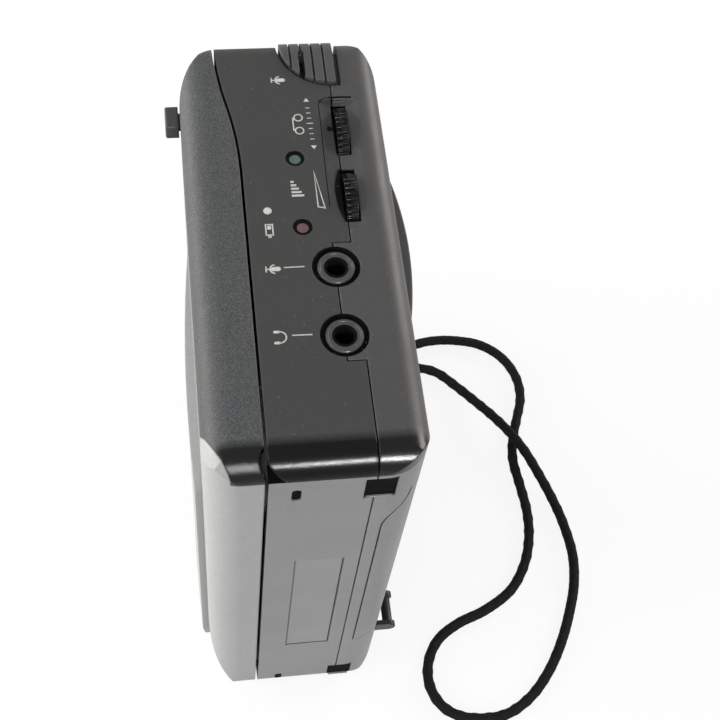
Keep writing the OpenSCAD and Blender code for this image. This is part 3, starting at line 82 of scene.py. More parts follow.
# Camera at the photograph's viewing angle: degrees, then the lens in millimetres and the place in metres
VIEW_AZIMUTH = 75.12
VIEW_ELEVATION = 59.93
VIEW_ROLL = 9.54
VIEW_LENS = 66.23
VIEW_PLACE = (0.12976, -0.01969, 0.30516)
VIEW_NEAREST = 0.01


def photo_camera():
    """The scene's camera, which looks down on the top and the right side."""
    a = math.radians(VIEW_AZIMUTH)
    e = math.radians(VIEW_ELEVATION)
    back = Vector((math.sin(a) * math.cos(e), -math.cos(a) * math.cos(e), math.sin(e)))
    roll = Quaternion((0, 0, 1), math.radians(VIEW_ROLL))
    camera = bpy.data.objects.new("photo_camera", bpy.data.cameras.new("photo_camera"))
    camera.data.lens = VIEW_LENS
    camera.data.clip_start = VIEW_NEAREST
    camera.location = VIEW_PLACE
    camera.rotation_mode = "QUATERNION"
    camera.rotation_quaternion = (-back).to_track_quat("-Z", "Y") @ roll
    bpy.context.scene.collection.objects.link(camera)
    bpy.context.scene.camera = camera


# Node trees; most of a noise's values lie within NOISE_SPAN
NOISE_SPAN = (0.3, 0.7)


class Tree:
    """Adds nodes to one node tree and joins their sockets."""

    def __init__(self, tree):
        self.tree = tree

    def put(self, socket, value):
        if isinstance(value, bpy.types.NodeSocket):
            self.tree.links.new(value, socket)
        else:
            socket.default_value = value

    def add(self, kind, inputs=None, **settings):
        node = self.tree.nodes.new(kind)
        for name, value in settings.items():
            setattr(node, name, value)
        for name, value in (inputs or {}).items():
            self.put(node.inputs[name], value)
        return node

    def math(self, operation, a, b=0.0):
        return self.add("ShaderNodeMath", {0: a, 1: b}, operation=operation).outputs[0]

    def ramp(self, value, low, high, to_low=0.0, to_high=1.0):
        """Value taken from low..high to to_low..to_high, held at both ends."""
        node = self.add("ShaderNodeMapRange", {0: value, 1: low, 2: high, 3: to_low, 4: to_high})
        return node.outputs[0]

    def spread(self, noise, to_low=0.0, to_high=1.0):
        """A noise taken from its usual span to to_low..to_high."""
        return self.ramp(noise, *NOISE_SPAN, to_low, to_high)

    def mix(self, factor, a, b):
        node = self.add("ShaderNodeMix", data_type="RGBA")
        for socket, value in zip((node.inputs[0], node.inputs[6], node.inputs[7]), (factor, a, b)):
            self.put(socket, value)
        return node.outputs[2]

    def object_place(self):
        return self.add("ShaderNodeTexCoord").outputs["Object"]

    def object_axis(self, axis):
        return self.add("ShaderNodeSeparateXYZ", {0: self.object_place()}).outputs[axis]

    def object_scaled(self, scale):
        return self.add("ShaderNodeMapping", {"Vector": self.object_place(), "Scale": scale}).outputs[0]

    def noise(self, place, scale, detail=2.0):
        inputs = {"Vector": place, "Scale": scale, "Detail": detail}
        return self.add("ShaderNodeTexNoise", inputs).outputs[0]

    def bump(self, height, strength, distance, normal=None):
        inputs = {"Height": height, "Strength": strength, "Distance": distance}
        if normal is not None:
            inputs["Normal"] = normal
        return self.add("ShaderNodeBump", inputs).outputs[0]


def shader_group(name, inputs, outputs):
    """An empty shader group with float inputs, and outputs given as name: socket type."""
    group = bpy.data.node_groups.new(name, "ShaderNodeTree")
    for label, value in inputs.items():
        socket = group.interface.new_socket(label, in_out="INPUT", socket_type="NodeSocketFloat")
        socket.default_value = value
    for label, kind in outputs.items():
        group.interface.new_socket(label, in_out="OUTPUT", socket_type=kind)
    tree = Tree(group)
    return group, tree, tree.add("NodeGroupInput").outputs, tree.add("NodeGroupOutput").inputs


# Effects that finishes share; the coarse grain and the specks are scaled from the fine grain
FINE_SHARE = 0.7
COARSE_SCALE = 0.37
SPECK_SCALE = 0.8
TONE_SCALE = 28.0
SPECK_START = 0.8
SPECK_FALL = 0.3
SPECK_EDGE = 0.08
BREAK_SPAN = (0.42, 0.62)
EDGE_TURN = (0.96, 0.72)
SMUDGE_SPAN = (0.35, 0.7)
DUST_SCALE = 1500.0
DUST_SPAN = (0.72, 0.78)


def moulded_grain():
    """Fine grain of a moulding: its height, a slow change of tone and small light specks."""
    group, t, given, out = shader_group(
        "moulded grain", {"Scale": 2200.0, "Speck share": 0.4},
        {"Height": "NodeSocketFloat", "Tone": "NodeSocketFloat", "Speck": "NodeSocketFloat"})
    place = t.object_place()
    fine = t.noise(place, given["Scale"], detail=3.0)
    coarse = t.noise(place, t.math("MULTIPLY", given["Scale"], COARSE_SCALE), detail=1.0)
    t.put(out["Height"], t.math("ADD", t.math("MULTIPLY", fine, FINE_SHARE),
                                t.math("MULTIPLY", coarse, 1 - FINE_SHARE)))
    t.put(out["Tone"], t.noise(place, TONE_SCALE, detail=4.0))
    grains = t.noise(place, t.math("MULTIPLY", given["Scale"], SPECK_SCALE), detail=0.0)
    edge = t.math("SUBTRACT", SPECK_START, t.math("MULTIPLY", given["Speck share"], SPECK_FALL))
    t.put(out["Speck"], t.ramp(grains, edge, t.math("ADD", edge, SPECK_EDGE)))
    return group


def edge_mask():
    """Rounded edge normal, and a broken mask of the edges: where hands rub them, and on the wheels where
    painted highlights go.
    """
    group, t, given, out = shader_group(
        "edge mask", {"Radius": 0.0004, "Breaks": 420.0},
        {"Mask": "NodeSocketFloat", "Normal": "NodeSocketVector"})
    bevel = t.add("ShaderNodeBevel", {"Radius": given["Radius"]}, samples=6).outputs[0]
    flat = t.add("ShaderNodeNewGeometry").outputs["Normal"]
    turn = t.add("ShaderNodeVectorMath", {0: bevel, 1: flat}, operation="DOT_PRODUCT").outputs["Value"]
    breaks = t.ramp(t.noise(t.object_place(), given["Breaks"], detail=4.0), *BREAK_SPAN)
    t.put(out["Mask"], t.math("MULTIPLY", t.ramp(turn, *EDGE_TURN), breaks))
    t.put(out["Normal"], bevel)
    return group


def handling():
    """Faint smudges and dust of a thing that is carried about."""
    group, t, given, out = shader_group(
        "handling", {"Scale": 60.0}, {"Smudge": "NodeSocketFloat", "Dust": "NodeSocketFloat"})
    place = t.object_place()
    t.put(out["Smudge"], t.ramp(t.noise(place, given["Scale"], detail=5.0), *SMUDGE_SPAN))
    t.put(out["Dust"], t.ramp(t.noise(place, DUST_SCALE, detail=1.0), *DUST_SPAN))
    return group


GRAIN = moulded_grain()
EDGE_MASK = edge_mask()
HANDLING = handling()


# Finishes
def grey(level, warm=0.0):
    """A grey of that linear level, a little warmer or, below 0, cooler."""
    return (level * (1 + warm), level, level * (1 - warm), 1.0)


def shaded(tint, share):
    """A tint made darker by a share under 1, or lighter by one over 1."""
    return tuple(c * share for c in tint[:3]) + (1.0,)


def new_finish(name):
    material = bpy.data.materials.new(name)
    material.use_nodes = True
    material.node_tree.nodes.clear()
    tree = Tree(material.node_tree)
    shader = tree.add("ShaderNodeBsdfPrincipled")
    output = tree.add("ShaderNodeOutputMaterial")
    tree.put(output.inputs["Surface"], shader.outputs[0])
    return material, tree, shader


PIT_SHADES = (0.9, 1.06)
DUST_GREY = grey(0.5)
DUST_SHARE = 0.12
SMUDGE_ROUGHNESS = 0.1
# Near black of the glossy places: painted shade
PAINTED_SHADE_GREY = grey(0.003, -0.1)
POLISHED_ROUGHNESS = 0.22
GRAIN_HEIGHT = 0.12 * MM


def plastic(name, tint, rough, scale=2200.0, depth=0.25, speck=None, share=0.0, edge_tint=None,
            wear=0.3, radius=0.0004, tone=0.16, shine=0.25, metal=0.0, gloss_and_shade=None):
    """A moulded plastic of that tint and roughness.

    scale and depth are its grain's, speck and share its specks' tint and amount. The edge tint and wear are
    the tint and amount of its lighter edges, whose radius is in metres: rubbed wear, and on the wheels
    painted highlight on the knurl tips. tone is how much its tint drifts. The last argument is (axis, start,
    end): past that place it is glossy, and its colour turns near black as painted shade.
    """
    material, t, shader = new_finish(name)
    grain = t.add("ShaderNodeGroup", {"Scale": scale, "Speck share": share}, node_tree=GRAIN).outputs
    edge = t.add("ShaderNodeGroup", {"Radius": radius}, node_tree=EDGE_MASK).outputs
    touch = t.add("ShaderNodeGroup", node_tree=HANDLING).outputs
    light = shaded(tint, 1 + tone)
    colour = t.mix(grain["Tone"], shaded(tint, 1 - tone), light)
    pits = t.spread(grain["Height"], *PIT_SHADES)
    colour = t.add("ShaderNodeHueSaturation", {"Color": colour, "Value": pits}).outputs[0]
    if speck:
        colour = t.mix(grain["Speck"], colour, speck)
    # Lighter edges: rubbed wear, and on the wheels painted highlight on the knurl tips
    colour = t.mix(t.math("MULTIPLY", edge["Mask"], wear), colour, edge_tint or light)
    colour = t.mix(t.math("MULTIPLY", touch["Dust"], DUST_SHARE), colour, DUST_GREY)
    roughness = t.math("ADD", rough, t.math("MULTIPLY", touch["Smudge"], SMUDGE_ROUGHNESS))
    # Past the given place the finish turns glossy, and its colour near black: painted shade
    if gloss_and_shade:
        axis, start, end = gloss_and_shade
        gloss_shade_share = t.ramp(t.object_axis(axis), start, end)
        kept = t.math("SUBTRACT", 1.0, gloss_shade_share)
        roughness = t.math("ADD", t.math("MULTIPLY", roughness, kept),
                           t.math("MULTIPLY", gloss_shade_share, POLISHED_ROUGHNESS))
        colour = t.mix(gloss_shade_share, colour, PAINTED_SHADE_GREY)
    t.put(shader.inputs["Base Color"], colour)
    t.put(shader.inputs["Roughness"], roughness)
    t.put(shader.inputs["Normal"], t.bump(grain["Height"], depth, GRAIN_HEIGHT, edge["Normal"]))
    shader.inputs["Specular IOR Level"].default_value = shine
    shader.inputs["Metallic"].default_value = metal
    return material


METAL_RADIUS = 0.2 * MM
DRAWN_SCALE = (1.0, 1.0, 30.0)
DRAWN_LINES = 300.0
DRAWN_SHADE = 0.72
DRAWN_ROUGHNESS = 0.15
DRAWN_BUMP = 0.12
DRAWN_HEIGHT = 0.1 * MM
STAIN_ROUGHNESS = 0.12


def metal(name, tint, rough):
    """A plain metal with drawn lines across its height and a slow stain."""
    material, t, shader = new_finish(name)
    edge = t.add("ShaderNodeGroup", {"Radius": METAL_RADIUS}, node_tree=EDGE_MASK).outputs
    touch = t.add("ShaderNodeGroup", node_tree=HANDLING).outputs
    lines = t.noise(t.object_scaled(DRAWN_SCALE), DRAWN_LINES, detail=4.0)
    t.put(shader.inputs["Base Color"], t.mix(t.spread(lines), shaded(tint, DRAWN_SHADE), tint))
    uneven = t.math("ADD", t.math("MULTIPLY", lines, DRAWN_ROUGHNESS),
                    t.math("MULTIPLY", touch["Smudge"], STAIN_ROUGHNESS))
    t.put(shader.inputs["Roughness"], t.math("ADD", uneven, rough))
    t.put(shader.inputs["Normal"], t.bump(lines, DRAWN_BUMP, DRAWN_HEIGHT, edge["Normal"]))
    shader.inputs["Metallic"].default_value = 1.0
    return material


LENS_CLOUD = 900.0
LENS_SHADE = 0.7
LENS_ROUGHNESS = (0.4, 0.5)
LENS_SHINE = 0.2


def lens(name, tint):
    """A dull coloured lens, clouded a little."""
    material, t, shader = new_finish(name)
    cloud = t.spread(t.noise(t.object_place(), LENS_CLOUD))
    t.put(shader.inputs["Base Color"], t.mix(cloud, shaded(tint, LENS_SHADE), tint))
    t.put(shader.inputs["Roughness"], t.ramp(cloud, 0.0, 1.0, *LENS_ROUGHNESS))
    shader.inputs["Specular IOR Level"].default_value = LENS_SHINE
    return material


SCRATCH_SCALE = (1.0, 1.0, 0.06)
SCRATCHES = 2600.0
SCRATCH_SPAN = (0.7, 0.78)
WINDOW_GREY = grey(0.2)
SCRATCH_GREY = grey(0.24)
WINDOW_ROUGHNESS = (0.06, 0.14)
WINDOW_CLEARNESS = 0.85
WINDOW_IOR = 1.49


def smoke_window():
    """Clear smoke plastic of the cassette window, with a few fine scratches."""
    material, t, shader = new_finish("smoke window")
    scratch = t.ramp(t.noise(t.object_scaled(SCRATCH_SCALE), SCRATCHES, detail=1.0), *SCRATCH_SPAN)
    t.put(shader.inputs["Roughness"], t.ramp(scratch, 0.0, 1.0, *WINDOW_ROUGHNESS))
    t.put(shader.inputs["Base Color"], t.mix(scratch, WINDOW_GREY, SCRATCH_GREY))
    shader.inputs["Transmission Weight"].default_value = WINDOW_CLEARNESS
    shader.inputs["IOR"].default_value = WINDOW_IOR
    return material


YARNS_ROUND = 6
YARNS_PER_MM = 3
YARN_RISE = 0.6
YARN_SPAN = (-0.2, 1.1)
YARN_DARK = grey(0.0015)
YARN_LIGHT = grey(0.006, -0.05)
YARN_ROUGHNESS = (0.55, 0.8)
YARN_BUMP = 0.5
YARN_HEIGHT = 0.12 * MM
YARN_SHINE = 0.08
FUZZ_SCALE = 5200.0


def braided_cord():
    """Black braid: fine slanted yarns that follow the cord's own length."""
    material, t, shader = new_finish("braided cord")
    along = t.add("ShaderNodeUVMap", uv_map="along").outputs[0]
    split = t.add("ShaderNodeSeparateXYZ", {0: along}).outputs
    turn = t.math("MULTIPLY", split["Y"], 2 * math.pi * YARNS_ROUND)
    run = t.math("MULTIPLY", split["X"], 2 * math.pi * YARNS_PER_MM)
    yarn = t.math("SINE", t.math("ADD", turn, run))
    back = t.math("SINE", t.math("SUBTRACT", turn, run))
    weave = t.math("MAXIMUM", yarn, back)
    fuzz = t.noise(t.object_place(), FUZZ_SCALE, detail=3.0)
    height = t.math("ADD", t.math("MULTIPLY", weave, YARN_RISE), fuzz)
    t.put(shader.inputs["Base Color"], t.mix(t.ramp(height, *YARN_SPAN), YARN_DARK, YARN_LIGHT))
    t.put(shader.inputs["Roughness"], t.spread(fuzz, *YARN_ROUGHNESS))
    t.put(shader.inputs["Normal"], t.bump(height, YARN_BUMP, YARN_HEIGHT))
    shader.inputs["Specular IOR Level"].default_value = YARN_SHINE
    return material


BOARD_FLAT = (1.0, 0.0, 1.0)
RUN_CELLS = 160.0
RUN_WIDTH = 0.035
MASK_GREEN = (0.012, 0.075, 0.03, 1.0)
RUN_GREEN = (0.03, 0.16, 0.06, 1.0)
MASK_CLOUD = 500.0
MASK_ROUGHNESS = (0.25, 0.4)


def solder_board():
    """Green solder mask with paler copper runs under it."""
    material, t, shader = new_finish("solder board")
    cells = t.add("ShaderNodeTexBrick", {"Vector": t.object_scaled(BOARD_FLAT), "Scale": RUN_CELLS,
                                         "Mortar Size": RUN_WIDTH})
    t.put(shader.inputs["Base Color"], t.mix(cells.outputs["Fac"], MASK_GREEN, RUN_GREEN))
    t.put(shader.inputs["Roughness"], t.spread(t.noise(t.object_place(), MASK_CLOUD), *MASK_ROUGHNESS))
    return material


CELL_BAND = 14.0
CELL_BAND_EDGE = 0.2
CELL_BAND_Z = high_of("battery_cells").z - CELL_BAND
CELL_CLOUD = 240.0
CELL_DARK = grey(0.012)
CELL_LIGHT = grey(0.024)
COPPER_DARK = (0.4, 0.17, 0.06, 1.0)
COPPER_LIGHT = (0.52, 0.25, 0.1, 1.0)
CELL_ROUGHNESS = (0.25, 0.38)
COPPER_METAL = 0.6


def cell_wrap():
    """Printed wrap of a battery cell: a dark body and a copper band at the top end."""
    material, t, shader = new_finish("cell wrap")
    band = t.ramp(t.object_axis("Z"), CELL_BAND_Z * MM, (CELL_BAND_Z + CELL_BAND_EDGE) * MM)
    cloud = t.noise(t.object_place(), CELL_CLOUD, detail=3.0)
    body = t.mix(cloud, CELL_DARK, CELL_LIGHT)
    copper = t.mix(cloud, COPPER_DARK, COPPER_LIGHT)
    t.put(shader.inputs["Base Color"], t.mix(band, body, copper))
    t.put(shader.inputs["Roughness"], t.spread(cloud, *CELL_ROUGHNESS))
    t.put(shader.inputs["Metallic"], t.math("MULTIPLY", band, COPPER_METAL))
    return material


WIRE_PITCH = 0.6 * MM
WIRE_SPAN = (0.1, 0.7)
WIRE_DARK = grey(0.002)
WIRE_LIGHT = grey(0.05)
WIRE_ROUGHNESS = (0.7, 0.35)
WIRE_BUMP = 0.6
WIRE_HEIGHT = 0.2 * MM


def speaker_weave():
    """Fine wire cloth: dark square openings between round wires."""
    material, t, shader = new_finish("wire cloth")
    waves = 2 * math.pi / WIRE_PITCH
    warp = t.math("SINE", t.math("MULTIPLY", t.object_axis("X"), waves))
    weft = t.math("SINE", t.math("MULTIPLY", t.object_axis("Z"), waves))
    wires = t.math("MAXIMUM", warp, weft)
    t.put(shader.inputs["Base Color"], t.mix(t.ramp(wires, *WIRE_SPAN), WIRE_DARK, WIRE_LIGHT))
    t.put(shader.inputs["Roughness"], t.ramp(wires, -1.0, 1.0, *WIRE_ROUGHNESS))
    t.put(shader.inputs["Normal"], t.bump(wires, WIRE_BUMP, WIRE_HEIGHT))
    return material


# Glossy places whose colour also turns near black as painted shade: the right end of the top, from its side
# inwards, for the dark reflection there, and the front half of each wheel, for the shade in its slot
END_SHADE_START = 6.2
END_SHADE_FULL = 4.4
FLANK_EDGE = 0.3
WHEEL_MIDDLE = middle_of("volume_wheel").y
RIGHT_END = ("X", (CASE_RIGHT - END_SHADE_START) * MM, (CASE_RIGHT - END_SHADE_FULL) * MM)
# The wheels' front halves: glossy, and darkened as painted shade
WHEEL_FLANK_SHADE = ("Y", WHEEL_MIDDLE * MM, (WHEEL_MIDDLE - FLANK_EDGE) * MM)

FINISHES = {
    # Door silver: the case silver painted lighter, for the light that the door's rounded front catches
    "lit_door_silver": plastic("lit door silver", grey(0.33), 0.5, scale=4200.0, depth=0.14, speck=grey(0.4),
                           share=0.2, edge_tint=grey(0.45), wear=0.3, radius=0.0003, tone=0.03, shine=0.15),
    "silver": plastic("silver paint", grey(0.213, -0.01), 0.42, scale=4200.0, depth=0.16, speck=grey(0.28),
                      share=0.2, edge_tint=grey(0.42), wear=0.3, radius=0.0003, tone=0.04, metal=0.15),
    "panel": plastic("panel grey", grey(0.046), 0.55, scale=3600.0, depth=0.25, edge_tint=grey(0.12),
                     wear=0.25, radius=0.0005, tone=0.05, shine=0.12, gloss_and_shade=RIGHT_END),
    "grille": plastic("grille grey", grey(0.055), 0.5, scale=3600.0, depth=0.2, edge_tint=grey(0.18), wear=0.6,
                      radius=0.0003, tone=0.05),
    "band": plastic("band grey", grey(0.046, -0.05), 0.48, scale=8500.0, depth=0.4, speck=grey(0.09, -0.03),
                    share=0.95, edge_tint=grey(0.16), wear=0.35, radius=0.0006, tone=0.06, shine=0.2,
                    gloss_and_shade=RIGHT_END),
    "rear_cap": plastic("rear cap grey", grey(0.055, -0.01), 0.4, scale=3600.0, depth=0.25,
                        edge_tint=grey(0.14), radius=0.0005, tone=0.05, shine=0.2, gloss_and_shade=RIGHT_END),
    "key": plastic("key grey", grey(0.04), 0.45, depth=0.3, edge_tint=grey(0.16), wear=0.5),
    # Wheel black: its light edge tint is painted highlight on the knurl tips, its front half painted shade
    "wheel": plastic("wheel black", grey(0.004), 0.5, depth=0.2, edge_tint=grey(0.3), wear=1.0, radius=0.0002,
                     shine=0.06, gloss_and_shade=WHEEL_FLANK_SHADE),
    "black": plastic("satin black", grey(0.008), 0.35, depth=0.15, edge_tint=grey(0.06), radius=0.0003),
    # Dull black, mostly laid in recesses, holes and creases as painted shade
    "hollow": plastic("dull black", grey(0.003), 0.8, depth=0.1, wear=0.0, shine=0.05),
    "bush": plastic("bush grey", grey(0.04, -0.03), 0.28, depth=0.1, edge_tint=grey(0.2), wear=0.5, radius=0.0004,
                    shine=0.4),
    "knob": plastic("knob grey", grey(0.042, -0.02), 0.42, depth=0.25, edge_tint=grey(0.18), wear=0.4,
                    radius=0.0005),
    "speaker": plastic("speaker grey", grey(0.05), 0.5, scale=3600.0, depth=0.3, edge_tint=grey(0.14), tone=0.05),
    "plate": plastic("side plate", grey(0.23, -0.01), 0.4, scale=5200.0, depth=0.08, tone=0.03, wear=0.2),
    "white": plastic("white nylon", grey(0.55, 0.03), 0.4, depth=0.1, tone=0.06),
    "rubber": plastic("belt rubber", grey(0.011), 0.6, depth=0.3, scale=4000.0),
    "cone": plastic("cone paper", grey(0.02), 0.85, scale=1500.0, depth=0.8, shine=0.2),
    "window": smoke_window(),
    "green_lens": lens("green lens", (0.085, 0.135, 0.115, 1.0)),
    "red_lens": lens("red lens", (0.15, 0.085, 0.092, 1.0)),
    "steel": metal("drawn steel", grey(0.6), 0.22),
    "brass": metal("turned brass", (0.72, 0.5, 0.2, 1.0), 0.24),
    "board": solder_board(),
    "cell": cell_wrap(),
    "cord": braided_cord(),
    "wire_cloth": speaker_weave(),
    "ink": plastic("white print", grey(0.5, 0.02), 0.5, depth=0.05, tone=0.08, wear=0.0),
    "red_ink": plastic("red print", (0.4, 0.03, 0.025, 1.0), 0.5, depth=0.05, tone=0.05, wear=0.0),
}

KEYS = ["record_key", "play_key", "rewind_key", "forward_key", "stop_key"]
JACKS = ["mic_jack", "monitor_jack"]

NODE_FINISH = {
    "lit_door_silver": ["cassette_door"],
    "silver": ["centre_case", "rear_cover", "battery_door"],
    "panel": ["control_panel"],
    "grille": ["mic_grille"],
    "band": ["door_top_band"],
    "rear_cap": ["rear_top_cap"],
    "key": KEYS,
    "wheel": ["volume_wheel", "speed_wheel"],
    "black": ["strap_eyelets", "strap_end", "head_carriage", "board_components", "motor_pulley",
              "mic_capsule", "speaker_frame", "volume_pot", "speed_pot"],
    "bush": JACKS,
    "speaker": ["speaker_grille"],
    "knob": ["latch_slider", "latch_hook"],
    "white": ["supply_spindle", "takeup_spindle"],
    "rubber": ["drive_belt", "takeup_belt", "pinch_roller"],
    "cone": ["speaker_cone"],
    "window": ["door_window"],
    "green_lens": ["level_lamp"],
    "red_lens": ["record_lamp"],
    "steel": ["door_springs", "hinge_pins", "chassis_plate", "chassis_screws", "capstan_shaft", "flywheel",
              "motor_body", "record_head", "erase_head", "pinch_arm", "speaker_magnet", "battery_contacts",
              "battery_springs", "case_screws"],
    "brass": ["capstan_bush"],
    "board": ["circuit_board"],
    "cell": ["battery_cells"],
    "cord": ["wrist_strap"],
}

for finish, names in NODE_FINISH.items():
    for name in names:
        NODES[name].data.materials.clear()
        NODES[name].data.materials.append(FINISHES[finish])


# Pieces
def mesh_data(name, mesh, turn_faces=True):
    """A finished mesh from a bmesh; turn_faces points its faces outwards, unless they already do."""
    if turn_faces:
        bmesh.ops.recalc_face_normals(mesh, faces=mesh.faces)
    data = bpy.data.meshes.new(name)
    mesh.to_mesh(data)
    mesh.free()
    return data


def piece(name, data, finish, body="case"):
    """A finished mesh as a piece of the object that rides on a body."""
    data.materials.clear()
    data.materials.append(FINISHES[finish])
    made = bpy.data.objects.new(name, data)
    bpy.context.scene.collection.objects.link(made)
    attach(made, body)
    return made


SHARP_EDGE = math.radians(30)
FLAT_EDGE = math.radians(0.5)
SAME_POINT = 0.001 * MM
ROUND_STEPS = 4


def softened(node, width, finish, outside):
    """A copy of a node whose sharp edges are rounded where outside, a test on their middle, says so."""
    mesh = bmesh.new()
    mesh.from_mesh(NODES[node].data)
    bmesh.ops.remove_doubles(mesh, verts=mesh.verts, dist=SAME_POINT)
    bmesh.ops.dissolve_limit(mesh, angle_limit=FLAT_EDGE, verts=mesh.verts, edges=mesh.edges)
    edges = [e for e in mesh.edges if len(e.link_faces) == 2 and e.calc_face_angle() > SHARP_EDGE
             and outside((e.verts[0].co + e.verts[1].co) / 2 / MM)]
    bmesh.ops.bevel(mesh, geom=edges, offset=width * MM, segments=ROUND_STEPS, profile=0.5, affect="EDGES",
                    clamp_overlap=True)
    made = piece(node + "_soft", mesh_data(node + "_soft", mesh, turn_faces=False), finish, BODY_OF[node])
    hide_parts(node)
    return made


# Wrist strap: the route's points, in millimetres
CORD_ROUTE = [
    (-37.1, 20.8, 12), (-37.1, 20.8, 9.5), (-37.2, 20.8, 7), (-37.5, 22.4, 3), (-38.3, 26.3, 1.4),
    (-40, 31, 1.4), (-42.2, 36.5, 1.4), (-44.2, 42, 1.4), (-44.8, 47, 1.4), (-44.4, 52, 1.4),
    (-43, 57.5, 1.4), (-40, 62, 1.4), (-36, 65, 1.4), (-31, 66.6, 1.4), (-25.5, 66.4, 1.4),
    (-19.7, 64.4, 1.4), (-14, 62.4, 1.4), (-8, 61.4, 1.4), (-1, 62, 1.4), (6, 62.5, 1.4),
    (13, 61.8, 1.4), (20, 59.4, 1.4), (26.4, 54.8, 1.4), (30.8, 47.8, 1.4), (33.5, 40.8, 1.4),
    (37, 35.4, 1.4), (42, 32.3, 1.4), (47.6, 31.7, 1.4), (52.6, 33.8, 1.4), (55.6, 38, 1.4),
    (56.6, 43.8, 1.4), (55.8, 49.6, 1.4), (52.2, 55.6, 1.4), (46.6, 60.8, 1.4), (40, 65, 1.4),
    (33, 68.3, 1.4), (26, 70.8, 1.4), (18.5, 71.9, 1.4), (10.5, 71.2, 1.4), (3.6, 69.6, 1.6),
    (-3.4, 67, 2.6), (-9.4, 64.2, 3.9), (-14.6, 61.2, 4.3), (-20, 57.6, 3.8), (-25.2, 54, 2.5),
    (-30.4, 50, 1.5), (-34.8, 45.6, 1.4), (-36.6, 41, 1.4), (-36.4, 36, 1.4), (-35.5, 31, 1.4),
    (-34.5, 26.3, 1.4), (-33.9, 22.4, 3), (-33.8, 20.8, 7), (-33.8, 20.8, 9.5), (-33.8, 20.8, 12)]
ROUTE_PARTS = 24
CORD_RADIUS = 1.3 * MM
CORD_STEP = 0.35 * MM
CORD_SIDES = 24
BRAID_LUMPS = 4
BRAID_PITCH = 3.4 * MM
BRAID_DEPTH = 0.096 * MM
BRAID_VALLEY = -0.3


def smooth_route(points, step):
    """Even points along a smooth line through the given ones, and its length."""
    knots = [Vector(p) * MM for p in points]
    knots = [2 * knots[0] - knots[1]] + knots + [2 * knots[-1] - knots[-2]]
    fine = []
    for a, b, c, d in zip(knots, knots[1:], knots[2:], knots[3:]):
        for k in range(ROUTE_PARTS):
            u = k / ROUTE_PARTS
            fine.append(0.5 * (2 * b + (c - a) * u + (2 * a - 5 * b + 4 * c - d) * u ** 2
                               + (3 * b - a - 3 * c + d) * u ** 3))
    fine.append(knots[-2])
    lengths = [0.0]
    for a, b in zip(fine, fine[1:]):
        lengths.append(lengths[-1] + (b - a).length)
    count = round(lengths[-1] / step)
    even = []
    at = 0
    for k in range(count + 1):
        goal = lengths[-1] * k / count
        while at < len(fine) - 2 and lengths[at + 1] < goal:
            at += 1
        share = (goal - lengths[at]) / (lengths[at + 1] - lengths[at])
        even.append(fine[at].lerp(fine[at + 1], share))
    return even, lengths[-1]


def braided_tube(route):
    """A tube along the route, with the staggered lumps of its braid and a UV map along it."""
    mesh = bmesh.new()
    uv = mesh.loops.layers.uv.new("along")
    side = Vector((1, 0, 0))
    rings = []
    for i, place in enumerate(route):
        way = (route[min(i + 1, len(route) - 1)] - route[max(i - 1, 0)]).normalized()
        side = (side - side.dot(way) * way).normalized()
        up = way.cross(side)
        phase = 2 * math.pi * i * CORD_STEP / BRAID_PITCH
        ring = []
        for k in range(CORD_SIDES):
            a = 2 * math.pi * k / CORD_SIDES
            lump = math.cos(BRAID_LUMPS * a) * math.cos(phase)
            radius = CORD_RADIUS - BRAID_DEPTH * (1 - max(lump, BRAID_VALLEY))
            ring.append(mesh.verts.new(place + radius * (math.cos(a) * side + math.sin(a) * up)))
        rings.append(ring)
    for i in range(len(rings) - 1):
        for k in range(CORD_SIDES):
            n = (k + 1) % CORD_SIDES
            face = mesh.faces.new((rings[i][k], rings[i][n], rings[i + 1][n], rings[i + 1][k]))
            face.smooth = True
            for loop, (row, turn) in zip(face.loops, ((i, k), (i, k + 1), (i + 1, k + 1), (i + 1, k))):
                loop[uv].uv = (row * CORD_STEP / MM, turn / CORD_SIDES)
    mesh.faces.new(list(reversed(rings[0])))
    mesh.faces.new(rings[-1])
    return mesh_data("wrist_cord", mesh, turn_faces=False)


def wrist_cord(strap_end):
    """The strap's cord, which leaves the strap end and comes back to it."""
    route, length = smooth_route(CORD_ROUTE, CORD_STEP)
    cord = piece("wrist_cord", braided_tube(route), "cord")
    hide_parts("wrist_strap")


# Flat shapes on a face, in millimetres: each face's directions across, up and out
FACES = {
    "top": ((1, 0, 0), (0, 1, 0), (0, 0, 1)),
    "back": ((-1, 0, 0), (0, 0, 1), (0, 1, 0)),
    "left": ((0, -1, 0), (0, 0, 1), (-1, 0, 0)),
    "right": ((0, 1, 0), (0, 0, 1), (1, 0, 0)),
}
INK_LIFT = 0.03
INK_SINK = 0.05
INK_WIDTH = 0.26
DISC_STEPS = 32
CORNER_STEPS = 8
SHARPEST_MITRE = 0.3
RING_SIDES = 48


def arc(x, y, r, start, end, steps=16):
    """Points of an arc between two angles in degrees."""
    angles = [math.radians(start + (end - start) * k / steps) for k in range(steps + 1)]
    return [(x + r * math.cos(a), y + r * math.sin(a)) for a in angles]


def disc(x, y, r):
    return arc(x, y, r, 0, 360, DISC_STEPS)[:-1]


def soft_box(x, y, w, h, r):
    """Outline of a rectangle with round corners."""
    a, b = w / 2 - r, h / 2 - r
    corners = ((a, b, 0), (-a, b, 90), (-a, -b, 180), (a, -b, 270))
    return [p for dx, dy, turn in corners for p in arc(x + dx, y + dy, r, turn, turn + 90, CORNER_STEPS)]


def stroke(points, width=INK_WIDTH, closed=False):
    """A line of a relief: its points, its width and whether its ends meet."""
    return points, width, closed


